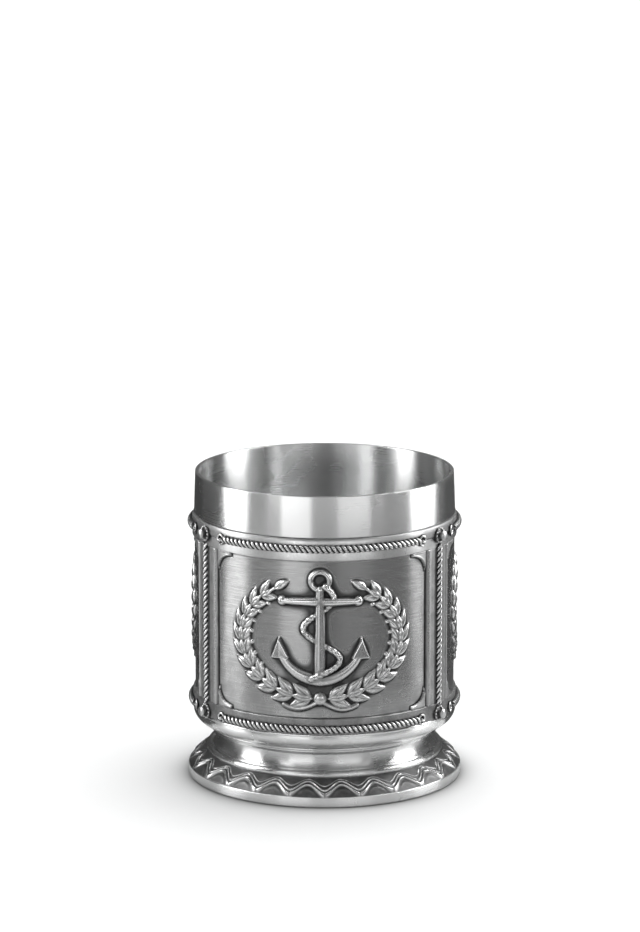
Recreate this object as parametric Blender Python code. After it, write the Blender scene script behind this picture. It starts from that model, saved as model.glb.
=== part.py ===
"""Pewter whisky beaker: a turned cup in a relief mantle, on a spread foot with a wave border.

Lengths are metres and +Z is up. The origin is the middle of the foot's resting plane, and the
front panel faces -Y. A turn is an angle about Z that runs from the front towards +X.
"""
import math

import bmesh
import bpy
from mathutils import Vector

MM = 0.001

# Heights, stacked from the resting plane up to the lip
FOOT_RIM_HEIGHT = 3.0 * MM
FLARE_HEIGHT = 4.5 * MM
NECK_HEIGHT = 8.2 * MM
SHOULDER_HEIGHT = 5.4 * MM
LOWER_BAND_HEIGHT = 4.5 * MM
PANEL_HEIGHT = 46.0 * MM
UPPER_BAND_HEIGHT = 6.9 * MM
PLAIN_BAND_HEIGHT = 11.5 * MM

# Clearance that the solder fills between two pieces
SEAT_GAP = 0.25 * MM

# Cup
LINER_RADIUS = 36.6 * MM
LIP_RADIUS = LINER_RADIUS + 0.8 * MM
LIP_WALL = 1.1 * MM
LIP_ROUND = 0.4 * MM
PLAIN_BAND_RADIUS = LINER_RADIUS + 1.2 * MM
LINER_WALL = 1.1 * MM
LINER_CORNER = 5.5 * MM
FLOOR_THICKNESS = 1.8 * MM

# Mantle
GROUND_RADIUS = LINER_RADIUS + 1.05 * MM
FRAME_RADIUS = GROUND_RADIUS + 0.65 * MM
BAND_SLOPE_HEIGHT = 1.9 * MM
SHOULDER_FOOT_RADIUS = LINER_RADIUS - 3.2 * MM
SHOULDER_LIST_WIDTH = 0.7 * MM
SHOULDER_LIST_HEIGHT = 0.2 * MM
PANEL_COUNT = 3
STILE_WIDTH = 5.8 * MM
RAIL_BORDER = 0.7 * MM
LIST_GAP = 0.3 * MM
LIST_WIDTH = 0.6 * MM
LIST_HEIGHT = 0.3 * MM
CORNER_WIDTH = 6.2 * MM
CORNER_HEIGHT = 5.6 * MM
CORNER_STEP = 0.9 * MM

# Anchor relief
ANCHOR_HEIGHT = PANEL_HEIGHT - 8.0 * MM
SHANK_HALF_WIDTH = 1.7 * MM
SHANK_RELIEF = 1.6 * MM
EYE_RADIUS = 2.8 * MM
EYE_HALF_WIDTH = 0.85 * MM
EYE_RELIEF = 1.1 * MM
STOCK_LENGTH = 22.0 * MM
STOCK_HALF_WIDTH = 1.5 * MM
STOCK_RELIEF = 1.3 * MM
ARM_RADIUS = 13.5 * MM
ARM_SWEEP = 78.0
ARM_HALF_WIDTH = 2.2 * MM
ARM_RELIEF = 1.45 * MM
FLUKE_LENGTH = 6.0 * MM
FLUKE_HALF_WIDTH = 4.0 * MM
FLUKE_RELIEF = 1.2 * MM

# Wheel relief
WHEEL_RADIUS = 12.0 * MM
WHEEL_HALF_WIDTH = 1.7 * MM
WHEEL_RELIEF = 1.3 * MM
HUB_RADIUS = 3.4 * MM
HUB_RELIEF = 1.6 * MM
WHEEL_SPOKES = 8
SPOKE_HALF_WIDTH = 0.85 * MM
SPOKE_RELIEF = 1.0 * MM
HANDLE_LENGTH = 6.5 * MM
HANDLE_HALF_WIDTH = 1.5 * MM

# Compass relief
COMPASS_RADIUS = 13.0 * MM
COMPASS_HALF_WIDTH = 0.85 * MM
COMPASS_RELIEF = 0.8 * MM
STAR_POINTS = 8
STAR_LONG = 19.0 * MM
STAR_SHORT = 10.5 * MM
STAR_WAIST = 4.2 * MM
STAR_RELIEF = 1.6 * MM
STAR_EDGE = 0.15 * MM

# Rope mouldings with knotted ends
RAIL_WIDTH = 2.4 * MM
RAIL_RELIEF = 1.2 * MM
RAIL_BARS = 40
POST_WIDTH = 1.7 * MM
POST_RELIEF = 0.85 * MM
POST_BARS = 34
ROPE_GROOVE = 0.35 * MM
KNOT_RADIUS = 1.75 * MM
KNOT_SECTIONS = 4
KNOT_SWEEP = 80.0
UPPER_RAIL_DROP = 3.3 * MM
LOWER_RAIL_RISE = 1.65 * MM

# Knobs at the ends of the posts, each in a beaded collar
COLLAR_RADIUS = 2.4 * MM
COLLAR_NOTCH = 0.35 * MM
COLLAR_RELIEF = 0.45 * MM
COLLAR_BEADS = 8
STEM_RADIUS = 0.85 * MM
KNOB_RADIUS = 1.35 * MM
KNOB_HALF_DEPTH = 0.6 * MM
KNOB_RELIEF = 2.3 * MM
KNOB_STEPS = 3

# Neck collar
BEAD_RADIUS = SHOULDER_FOOT_RADIUS - 0.1 * MM
BEAD_HEIGHT = 1.1 * MM
WAIST_RADIUS = BEAD_RADIUS - 2.7 * MM
NECK_BORE_RADIUS = WAIST_RADIUS - 3.6 * MM

# Foot
FOOT_RADIUS = LINER_RADIUS + 3.2 * MM
FOOT_WALL = 2.6 * MM
FOOT_EDGE = 0.3 * MM
FLARE_TOP_RADIUS = BEAD_RADIUS + 0.3 * MM
FLARE_STEP = 0.25 * MM
FLARE_BULGE = 0.7 * MM
FOOT_BORE_RADIUS = NECK_BORE_RADIUS + 2.0 * MM
CAVITY_CROWN = 2.1 * MM
WAVES = 24
WAVE_CREST = 0.22
WAVE_TROUGH = 0.66
WAVE_LINE = 0.11
WAVE_RELIEF = 0.5 * MM
LOBE_RELIEF = 0.2 * MM
WAVE_TURN = math.radians(2.0)

# Facets of each kind of round, and the share of a relief bar's width that its flat top keeps
TURN_STEPS = 48
ARC_STEPS = 3
WAVE_STEPS = 4
ARM_STEPS = 10
SMALL_STEPS = 12
RIM_STEPS = 24
BAR_TOP_SHARE = 0.5
MERGE_DISTANCE = 1e-7
SHARP_ANGLE = math.radians(32.0)

# Levels worked out from the stack
FOOT_TOP = FOOT_RIM_HEIGHT + FLARE_HEIGHT
NECK_TOP = FOOT_TOP + NECK_HEIGHT
SHOULDER_TOP = NECK_TOP + SHOULDER_HEIGHT
PANEL_FOOT = SHOULDER_TOP + LOWER_BAND_HEIGHT
PANEL_TOP = PANEL_FOOT + PANEL_HEIGHT
BAND_FOOT = PANEL_TOP + UPPER_BAND_HEIGHT
LIP = BAND_FOOT + PLAIN_BAND_HEIGHT

MANTLE_BORE = LINER_RADIUS + SEAT_GAP
APPLIED_RADIUS = FRAME_RADIUS + SEAT_GAP
LINER_FOOT = NECK_TOP + SEAT_GAP
UPPER_RAIL = BAND_FOOT - UPPER_RAIL_DROP
LOWER_RAIL = SHOULDER_TOP + LOWER_RAIL_RISE
SECTOR = math.tau / PANEL_COUNT
TURNS = {"front": 0.0, "right": SECTOR, "left": -SECTOR}
POST_TURNS = {"right": SECTOR / 2, "left": -SECTOR / 2, "back": math.pi}


def pewter(name, shade, roughness):
    """Make a metal material of one grey."""
    material = bpy.data.materials.new(name)
    material.use_nodes = True
    surface = material.node_tree.nodes["Principled BSDF"]
    surface.inputs["Base Color"].default_value = (shade, shade, shade * 0.98, 1.0)
    surface.inputs["Metallic"].default_value = 1.0
    surface.inputs["Roughness"].default_value = roughness
    return material


def add_solid(name, mesh_source, material):
    """Turn a bmesh into a named, smooth shaded object in the scene."""
    mesh = bpy.data.meshes.new(name)
    bmesh.ops.recalc_face_normals(mesh_source, faces=mesh_source.faces)
    mesh_source.to_mesh(mesh)
    mesh_source.free()
    mesh.shade_smooth()
    mesh.set_sharp_from_angle(angle=SHARP_ANGLE)
    mesh.materials.append(material)
    return place(name, mesh, 0.0)


def place(name, mesh, turn, location=(0.0, 0.0, 0.0)):
    """Put a mesh in the scene at a location, turned about Z."""
    solid = bpy.data.objects.new(name, mesh)
    solid.location = location
    solid.rotation_euler.z = turn
    bpy.context.scene.collection.objects.link(solid)
    return solid


def arc(centre, radius, start, end, steps=ARC_STEPS):
    """List points of a profile arc, with its angles in degrees from the outward direction."""
    angles = [math.radians(start + (end - start) * i / steps) for i in range(steps + 1)]
    return [(centre[0] + radius * math.cos(a), centre[1] + radius * math.sin(a)) for a in angles]


def turned(name, profile, material):
    """Spin a profile of (radius, height) points; one that leaves the axis is closed on itself."""
    lathe = bmesh.new()
    verts = [lathe.verts.new((radius, 0.0, height)) for radius, height in profile]
    edges = [lathe.edges.new(pair) for pair in zip(verts, verts[1:])]
    if profile[0][0] > 0.0:
        edges.append(lathe.edges.new((verts[-1], verts[0])))
    bmesh.ops.spin(lathe, geom=verts + edges, cent=(0, 0, 0), axis=(0, 0, 1),
                   angle=math.tau, steps=TURN_STEPS, use_merge=True)
    bmesh.ops.remove_doubles(lathe, verts=lathe.verts, dist=MERGE_DISTANCE)
    return add_solid(name, lathe, material)


def loft(rings, close_path):
    """Skin a list of point rings, each closed on itself, and cap the ends of an open path."""
    skin = bmesh.new()
    rows = [[skin.verts.new(point) for point in ring] for ring in rings]
    pairs = list(zip(rows, rows[1:]))
    if close_path:
        pairs.append((rows[-1], rows[0]))
    for row, following in pairs:
        for i in range(len(row)):
            j = (i + 1) % len(row)
            skin.faces.new((row[i], row[j], following[j], following[i]))
    if not close_path:
        skin.faces.new(rows[0])
        skin.faces.new(rows[-1])
    return skin


def wrap(across, up, depth, back_radius):
    """Lay a flat ornament point on the cup: across becomes an arc at the panel ground's radius."""
    turn = across / GROUND_RADIUS
    radius = back_radius + depth
    return (radius * math.sin(turn), -radius * math.cos(turn), up)


def cup_liner(material):
    """The drinking vessel: thin wall, rounded floor corner, thicker plain band with a soft lip."""
    inner = LINER_RADIUS - LINER_WALL
    floor = LINER_FOOT + FLOOR_THICKNESS
    corner = LINER_CORNER - LINER_WALL
    centre = (LINER_RADIUS - LINER_CORNER, LINER_FOOT + LINER_CORNER)
    mouth = LIP_RADIUS - LIP_WALL
    profile = [(0.0, floor)]
    profile += arc((inner - corner, floor + corner), corner, -90, 0)
    profile += [(inner, PANEL_TOP), (mouth, LIP - LIP_ROUND), (mouth + LIP_ROUND, LIP)]
    profile += [(LIP_RADIUS - LIP_ROUND, LIP), (LIP_RADIUS, LIP - LIP_ROUND)]
    profile += [(PLAIN_BAND_RADIUS, BAND_FOOT), (LINER_RADIUS, BAND_FOOT)]
    profile += arc(centre, LINER_CORNER, 0, -90)
    profile.append((0.0, LINER_FOOT))
    return turned("cup_liner", profile, material)


def mantle_top_ring(material):
    """The smooth band that carries the upper rope, sloping in to the plain band above it."""
    top = BAND_FOOT - SEAT_GAP
    bottom = PANEL_TOP + SEAT_GAP
    slope = top - BAND_SLOPE_HEIGHT
    crown = FRAME_RADIUS - (FRAME_RADIUS - PLAIN_BAND_RADIUS) / 3
    profile = [(MANTLE_BORE, top), (PLAIN_BAND_RADIUS, top), (crown, (top + slope) / 2)]
    profile += [(FRAME_RADIUS, slope), (FRAME_RADIUS, bottom), (MANTLE_BORE, bottom)]
    return turned("mantle_top_ring", profile, material)


def mantle_shoulder_ring(material):
    """The band under the panels, with a thin list below it and the shoulder that rolls in to the neck."""
    top = PANEL_FOOT
    bottom = LINER_FOOT
    reach = FRAME_RADIUS - SHOULDER_FOOT_RADIUS
    roll_top = SHOULDER_TOP - SHOULDER_LIST_WIDTH
    rise = roll_top - bottom
    quarter = [math.radians(90.0 * i / ARC_STEPS) for i in range(ARC_STEPS + 1)]
    roll = [(SHOULDER_FOOT_RADIUS + reach * math.cos(a), roll_top - rise * math.sin(a))
            for a in quarter]
    centre = (LINER_RADIUS - LINER_CORNER, LINER_FOOT + LINER_CORNER)
    nest = LINER_CORNER + SEAT_GAP
    lowest = -math.degrees(math.asin(LINER_CORNER / nest))
    crest = (FRAME_RADIUS + SHOULDER_LIST_HEIGHT, (SHOULDER_TOP + roll_top) / 2)
    profile = [(MANTLE_BORE, top), (FRAME_RADIUS, top), (FRAME_RADIUS, SHOULDER_TOP), crest] + roll
    profile += arc(centre, nest, lowest, 0)
    return turned("mantle_shoulder_ring", profile, material)


def neck_collar(material):
    """The turned collar between cup and foot: a hollow curve between two beads."""
    top = NECK_TOP
    bottom = FOOT_TOP + SEAT_GAP
    bead = BEAD_HEIGHT / 2
    seat = BEAD_RADIUS - bead
    hollow_top = top - BEAD_HEIGHT
    hollow_foot = bottom + BEAD_HEIGHT
    middle = (hollow_top + hollow_foot) / 2
    depth = seat - WAIST_RADIUS
    half = (hollow_top - hollow_foot) / 2
    sweep = [math.radians(90.0 - 180.0 * i / (2 * ARC_STEPS)) for i in range(2 * ARC_STEPS + 1)]
    scotia = [(seat - depth * math.cos(a), middle + half * math.sin(a)) for a in sweep]
    profile = [(NECK_BORE_RADIUS, top)]
    profile += arc((seat, top - bead), bead, 90, -90)[:-1]
    profile += scotia
    profile += arc((seat, bottom + bead), bead, 90, -90)[1:]
    profile.append((NECK_BORE_RADIUS, bottom))
    return turned("neck_collar", profile, material)


def flare_point(share, relief):
    """Find a point on the foot's flare, from its top (0) to the rim (1), raised by a relief."""
    top = Vector((FLARE_TOP_RADIUS, FOOT_TOP))
    base = Vector((FOOT_RADIUS - FLARE_STEP, FOOT_RIM_HEIGHT))
    outward = Vector((top.y - base.y, base.x - top.x)).normalized()
    bulge = FLARE_BULGE * 4.0 * share * (1.0 - share)
    point = top.lerp(base, share) + outward * (bulge + relief)
    return (point.x, point.y)


def foot_section(phase):
    """Give the foot's closed profile at one phase of the wave, which has its trough at 0."""
    swing = abs(math.sin(phase / 2.0))
    wave = WAVE_TROUGH + (WAVE_CREST - WAVE_TROUGH) * swing
    lobe = (wave + WAVE_LINE + 1.0) / 2.0
    inner = FOOT_RADIUS - FOOT_WALL
    cavity = FOOT_TOP - CAVITY_CROWN
    section = [(FOOT_BORE_RADIUS, FOOT_TOP), flare_point(0.0, 0.0)]
    section += [flare_point(wave - WAVE_LINE, 0.0), flare_point(wave, WAVE_RELIEF)]
    section += [flare_point(wave + WAVE_LINE, 0.0), flare_point(lobe, LOBE_RELIEF * swing)]
    section += [flare_point(1.0, 0.0), (FOOT_RADIUS, FOOT_RIM_HEIGHT - FOOT_EDGE)]
    section += [(FOOT_RADIUS, FOOT_EDGE), (FOOT_RADIUS - FOOT_EDGE, 0.0), (inner, 0.0)]
    section += [(FOOT_BORE_RADIUS + FOOT_WALL, cavity), (FOOT_BORE_RADIUS, cavity)]
    return section


def foot_casting(material):
    """The spread foot: plain rim, flare with a running wave and a lobe under each crest."""
    columns = WAVES * WAVE_STEPS
    rings = []
    for column in range(columns):
        turn = WAVE_TURN + math.tau * column / columns
        section = foot_section(math.tau * column / WAVE_STEPS)
        rings.append([(r * math.sin(turn), -r * math.cos(turn), z) for r, z in section])
    return add_solid("foot_casting", loft(rings, True), material)


def rope_sections(length, bars, width, relief):
    """List (along, across, depth) triples of a half-round rope: left edge, crown, right edge.

    The length takes in the lean: the crown rises and falls once a bar, and the edges are shifted by
    half a bar so that the bars lean.
    """
    run = length * bars / (bars + 1)
    lean = run / bars / 2
    sections = []
    stations = 2 * bars
    for station in range(stations + 1):
        along = -run / 2 + run * station / stations
        ridge = relief if station % 2 == 0 else relief - ROPE_GROOVE
        sections.append([(along - lean, width / 2, 0.0), (along, 0.0, ridge),
                         (along + lean, -width / 2, 0.0)])
    return sections


def knot_sections(start, width, relief):
    """List the sections of the round knot that ends a rope, going on from where its bars stop."""
    neck = knot_neck(width)
    sections = []
    for step in range(1, KNOT_SECTIONS + 1):
        angle = -neck + (neck + math.radians(KNOT_SWEEP)) * step / KNOT_SECTIONS
        half = KNOT_RADIUS * math.cos(angle)
        along = start + KNOT_RADIUS * (math.sin(neck) + math.sin(angle))
        sections.append([(along, half, 0.0), (along, 0.0, relief), (along, -half, 0.0)])
    return sections


def knot_neck(width):
    """Angle on the round knot at which it is as wide as the rope."""
    return math.acos(width / 2 / KNOT_RADIUS)


def rope_rails(material):
    """The three upper and three lower rope rails, each laid along the middle of its panel."""
    opening = SECTOR * GROUND_RADIUS - 2 * STILE_WIDTH
    knot_length = KNOT_RADIUS * (math.sin(knot_neck(RAIL_WIDTH)) + math.sin(math.radians(KNOT_SWEEP)))
    length = opening - 2 * knot_length
    end = knot_sections(length / 2, RAIL_WIDTH, RAIL_RELIEF)
    start = [[(-along, across, depth) for along, across, depth in section] for section in reversed(end)]
    sections = start + rope_sections(length, RAIL_BARS, RAIL_WIDTH, RAIL_RELIEF) + end
    for level, height in (("upper", UPPER_RAIL), ("lower", LOWER_RAIL)):
        rings = [[wrap(along, height + across, depth, APPLIED_RADIUS)
                  for along, across, depth in section]
                 for section in sections]
        first = add_solid(f"rope_rail_{level}_front", loft(rings, False), material)
        for side in ("right", "left"):
            place(f"rope_rail_{level}_{side}", first.data, TURNS[side])


def rope_posts(material):
    """The three upright ropes that cover the seams between the panels."""
    bottom = LOWER_RAIL + COLLAR_RADIUS + SEAT_GAP
    top = UPPER_RAIL - COLLAR_RADIUS - SEAT_GAP
    rings = [[wrap(-across, (top + bottom) / 2 + along, depth, APPLIED_RADIUS)
              for along, across, depth in section]
             for section in rope_sections(top - bottom, POST_BARS, POST_WIDTH, POST_RELIEF)]
    seam = add_solid("rope_post_back", loft(rings, False), material)
    seam.rotation_euler.z = POST_TURNS["back"]
    for side in ("right", "left"):
        place(f"rope_post_{side}", seam.data, POST_TURNS[side])


def rosettes(material):
    """The six rosettes: a domed knob on a short stem in a beaded collar, flat at the back."""
    steps = 2 * COLLAR_BEADS
    shape = [(COLLAR_RADIUS, 0.0, True), (COLLAR_RADIUS, COLLAR_RELIEF, True)]
    shape += [(STEM_RADIUS, COLLAR_RELIEF, False)]
    middle = KNOB_RELIEF - KNOB_HALF_DEPTH
    lowest = -math.acos(STEM_RADIUS / KNOB_RADIUS)
    for step in range(KNOB_STEPS):
        angle = lowest + (math.pi / 2 - lowest) * step / KNOB_STEPS
        depth = middle + KNOB_HALF_DEPTH * math.sin(angle)
        shape.append((KNOB_RADIUS * math.cos(angle), depth, False))
    rings = []
    for radius, depth, scalloped in shape:
        ring = []
        for step in range(steps):
            angle = math.tau * step / steps
            notch = COLLAR_NOTCH if scalloped and step % 2 else 0.0
            reach = radius - notch
            ring.append((reach * math.cos(angle), -depth, reach * math.sin(angle)))
        rings.append(ring)
    knob = loft(rings, False)
    knob.faces.ensure_lookup_table()
    crown = bmesh.ops.poke(knob, faces=[knob.faces[-1]])["verts"][0]
    crown.co.y = -KNOB_RELIEF
    mesh = None
    for level, height in (("upper", UPPER_RAIL), ("lower", LOWER_RAIL)):
        for side, turn in POST_TURNS.items():
            name = f"rosette_{level}_{side}"
            seat = (APPLIED_RADIUS * math.sin(turn), -APPLIED_RADIUS * math.cos(turn), height)
            if mesh is None:
                first = add_solid(name, knob, material)
                first.location = seat
                first.rotation_euler.z = turn
                mesh = first.data
            else:
                place(name, mesh, turn, seat)


def prism(outline, low, high):
    """Extrude a flat outline of (across, up) points between two depths."""
    block = bmesh.new()
    face = block.faces.new([block.verts.new((across, up, low)) for across, up in outline])
    raised = bmesh.ops.extrude_face_region(block, geom=[face])["geom"]
    lifted = [part for part in raised if isinstance(part, bmesh.types.BMVert)]
    bmesh.ops.translate(block, verts=lifted, vec=(0.0, 0.0, high - low))
    return block


def bar(path, half_widths, low, high, closed=False):
    """Sweep a bevelled bar along a flat path, as wide at each point as its half width says."""
    count = len(path)
    rings = []
    for i, point in enumerate(path):
        before = path[i - 1] if i or closed else point
        after = path[(i + 1) % count] if i + 1 < count or closed else point
        along = (Vector(after) - Vector(before)).normalized()
        side = Vector((-along.y, along.x)) * half_widths[i]
        flat = Vector(point)
        ring = []
        for share, depth in ((1.0, low), (BAR_TOP_SHARE, high), (-BAR_TOP_SHARE, high), (-1.0, low)):
            spot = flat + side * share
            ring.append((spot.x, spot.y, depth))
        rings.append(ring)
    return loft(rings, closed)


def ring_path(centre, radius, steps):
    """List the points of a flat circle."""
    angles = [math.tau * i / steps for i in range(steps)]
    return [(centre[0] + radius * math.cos(a), centre[1] + radius * math.sin(a)) for a in angles]


def anchor(middle, low, ground):
    """Pieces of an anchor with stock, eye, curved arms and pointed flukes."""
    crown = middle - ANCHOR_HEIGHT / 2
    head = middle + ANCHOR_HEIGHT / 2 - 2 * EYE_RADIUS
    stock = head - EYE_RADIUS
    bend = crown + ARM_RADIUS
    sweep = [math.radians(ARM_SWEEP * (2 * i / ARM_STEPS - 1)) for i in range(ARM_STEPS + 1)]
    arms = [(ARM_RADIUS * math.sin(a), bend - ARM_RADIUS * math.cos(a)) for a in sweep]
    arm_widths = [ARM_HALF_WIDTH * (1.0 - abs(a) / math.pi) for a in sweep]
    ends = [(-STOCK_LENGTH / 2, stock), (0.0, stock), (STOCK_LENGTH / 2, stock)]
    stock_widths = [STOCK_HALF_WIDTH / 2, STOCK_HALF_WIDTH, STOCK_HALF_WIDTH / 2]
    eye = ring_path((0.0, head + EYE_RADIUS), EYE_RADIUS, SMALL_STEPS)
    pieces = [bar([(0.0, head), (0.0, crown)], [SHANK_HALF_WIDTH] * 2, low, ground + SHANK_RELIEF)]
    pieces.append(bar(ends, stock_widths, low, ground + STOCK_RELIEF))
    pieces.append(bar(arms, arm_widths, low, ground + ARM_RELIEF))
    pieces.append(bar(eye, [EYE_HALF_WIDTH] * SMALL_STEPS, low, ground + EYE_RELIEF, True))
    for root, angle in ((arms[0], sweep[0]), (arms[-1], sweep[-1])):
        outward = Vector((math.cos(angle), math.sin(angle))) * math.copysign(1.0, angle)
        aside = Vector((-outward.y, outward.x)) * FLUKE_HALF_WIDTH
        heel = Vector(root) - outward * FLUKE_LENGTH / 3
        tip = Vector(root) + outward * FLUKE_LENGTH
        pieces.append(prism([tip, heel + aside, root, heel - aside], low, ground + FLUKE_RELIEF))
    return pieces


def wheel(middle, low, ground):
    """Pieces of a ship's wheel: rim, hub and spokes that end in turned handles."""
    rim = ring_path((0.0, middle), WHEEL_RADIUS, RIM_STEPS)
    hub = ring_path((0.0, middle), HUB_RADIUS, SMALL_STEPS)
    pieces = [bar(rim, [WHEEL_HALF_WIDTH] * RIM_STEPS, low, ground + WHEEL_RELIEF, True)]
    pieces.append(prism(hub, low, ground + HUB_RELIEF))
    swell = WHEEL_RADIUS + HANDLE_LENGTH * 2 / 3
    stations = [(0.0, SPOKE_HALF_WIDTH), (WHEEL_RADIUS + HANDLE_LENGTH / 3, SPOKE_HALF_WIDTH)]
    stations += [(swell, HANDLE_HALF_WIDTH), (WHEEL_RADIUS + HANDLE_LENGTH, SPOKE_HALF_WIDTH)]
    for spoke in range(WHEEL_SPOKES):
        angle = math.tau * spoke / WHEEL_SPOKES
        path = [(reach * math.cos(angle), middle + reach * math.sin(angle)) for reach, _ in stations]
        pieces.append(bar(path, [width for _, width in stations], low, ground + SPOKE_RELIEF))
    return pieces


def compass(middle, low, ground):
    """Pieces of a compass rose: a ring and a star whose ridges rise to its middle."""
    rim = ring_path((0.0, middle), COMPASS_RADIUS, RIM_STEPS)
    ring = bar(rim, [COMPASS_HALF_WIDTH] * RIM_STEPS, low, ground + COMPASS_RELIEF, True)
    outline = []
    for point in range(STAR_POINTS):
        reach = STAR_SHORT if point % 2 else STAR_LONG
        for share, radius in ((0.0, reach), (0.5, STAR_WAIST)):
            angle = math.tau * (point + share) / STAR_POINTS
            outline.append((radius * math.cos(angle), middle + radius * math.sin(angle)))
    star = prism(outline, low, ground + STAR_EDGE)
    top = max(star.faces, key=lambda face: face.calc_center_median().z)
    peak = bmesh.ops.poke(star, faces=[top])["verts"][0]
    peak.co = (0.0, middle, ground + STAR_RELIEF)
    return [ring, star]


def opening_outline(half_width, middle, half_height):
    """Outline of a panel's sunk ground: round corners that step in at both ends."""
    corner = []
    for i in range(ARC_STEPS + 1):
        angle = math.radians(90.0 * i / ARC_STEPS)
        corner.append((half_width - CORNER_WIDTH + (CORNER_WIDTH - CORNER_STEP) * math.cos(angle),
                       half_height - CORNER_HEIGHT + (CORNER_HEIGHT - CORNER_STEP) * math.sin(angle)))
    corner.insert(0, (half_width, half_height - CORNER_HEIGHT))
    corner.append((half_width - CORNER_WIDTH, half_height))
    outline = []
    for side, level in ((1, 1), (-1, 1), (-1, -1), (1, -1)):
        run = [(side * across, middle + level * up) for across, up in corner]
        outline += run if side == level else run[::-1]
    return outline


def flat_object(mesh_source, collection):
    """Put a flat bmesh in a working collection as an object."""
    bmesh.ops.recalc_face_normals(mesh_source, faces=mesh_source.faces)
    mesh = bpy.data.meshes.new("flat")
    mesh_source.to_mesh(mesh)
    mesh_source.free()
    piece = bpy.data.objects.new("flat", mesh)
    collection.objects.link(piece)
    return piece


def combine(base, tools, operation):
    """Cut or join a base bmesh with tool bmeshes and return the result as a bmesh."""
    scene = bpy.context.scene.collection
    working = bpy.data.collections.new("working")
    scene.children.link(working)
    target = flat_object(base, scene)
    for tool in tools:
        flat_object(tool, working)
    modifier = target.modifiers.new("Combine", "BOOLEAN")
    modifier.operation = operation
    modifier.operand_type = "COLLECTION"
    modifier.collection = working
    result = bmesh.new()
    result.from_object(target, bpy.context.evaluated_depsgraph_get())
    for piece in list(working.objects) + [target]:
        bpy.data.objects.remove(piece)
    bpy.data.collections.remove(working)
    return result


def relief_panel(side, motif, material):
    """A cast panel: stiles and thin list round a sunk ground, with a relief standing on it."""
    half_width = SECTOR * GROUND_RADIUS / 2 - SEAT_GAP / 2
    low, high = PANEL_FOOT + SEAT_GAP, PANEL_TOP
    middle = (low + high) / 2
    ground = GROUND_RADIUS - MANTLE_BORE
    frame = FRAME_RADIUS - MANTLE_BORE
    corners = [(-half_width, low), (half_width, low), (half_width, high), (-half_width, high)]
    opening = opening_outline(half_width - STILE_WIDTH, middle, (high - low) / 2 - RAIL_BORDER)
    plate = combine(prism(corners, 0.0, frame), [prism(opening, ground, 2 * frame)], "DIFFERENCE")
    list_middle = half_width - STILE_WIDTH + LIST_GAP + LIST_WIDTH / 2
    strips = []
    for sign in (-1.0, 1.0):
        path = [(sign * list_middle, low + SEAT_GAP), (sign * list_middle, high - SEAT_GAP)]
        strips.append(bar(path, [LIST_WIDTH / 2] * 2, ground / 2, frame + LIST_HEIGHT))
    flat = combine(plate, strips + motif(middle, ground / 2, ground), "UNION")
    step = GROUND_RADIUS * math.tau / TURN_STEPS
    for cut in range(-int(half_width / step), int(half_width / step) + 1):
        geometry = flat.verts[:] + flat.edges[:] + flat.faces[:]
        bmesh.ops.bisect_plane(flat, geom=geometry, dist=MERGE_DISTANCE,
                               plane_co=(cut * step, 0.0, 0.0), plane_no=(1.0, 0.0, 0.0))
    bmesh.ops.remove_doubles(flat, verts=flat.verts, dist=MERGE_DISTANCE)
    for vert in flat.verts:
        vert.co = wrap(*vert.co, MANTLE_BORE)
    panel = add_solid(f"relief_panel_{side}", flat, material)
    panel.rotation_euler.z = TURNS[side]


def main():
    """Build the beaker."""
    for leftover in list(bpy.data.objects):
        bpy.data.objects.remove(leftover)
    satin = pewter("satin_pewter", 0.62, 0.25)
    oxidised = pewter("oxidised_pewter", 0.42, 0.38)
    cup_liner(satin)
    mantle_top_ring(satin)
    mantle_shoulder_ring(satin)
    neck_collar(satin)
    foot_casting(oxidised)
    for side, motif in (("front", anchor), ("right", wheel), ("left", compass)):
        relief_panel(side, motif, oxidised)
    rope_rails(oxidised)
    rope_posts(oxidised)
    rosettes(oxidised)


main()
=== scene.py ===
"""Looks of the pewter whisky beaker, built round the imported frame.

Lengths are metres and +Z is up. The front panel faces -Y, and a turn is an angle about Z that runs
from the front towards +X. The flat drawings of the relief panels are in millimetres.
"""
from __future__ import annotations

import logging
import math
from collections.abc import Iterable, Sequence
from dataclasses import dataclass, field
from enum import Enum
from functools import reduce
from typing import Any

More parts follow.
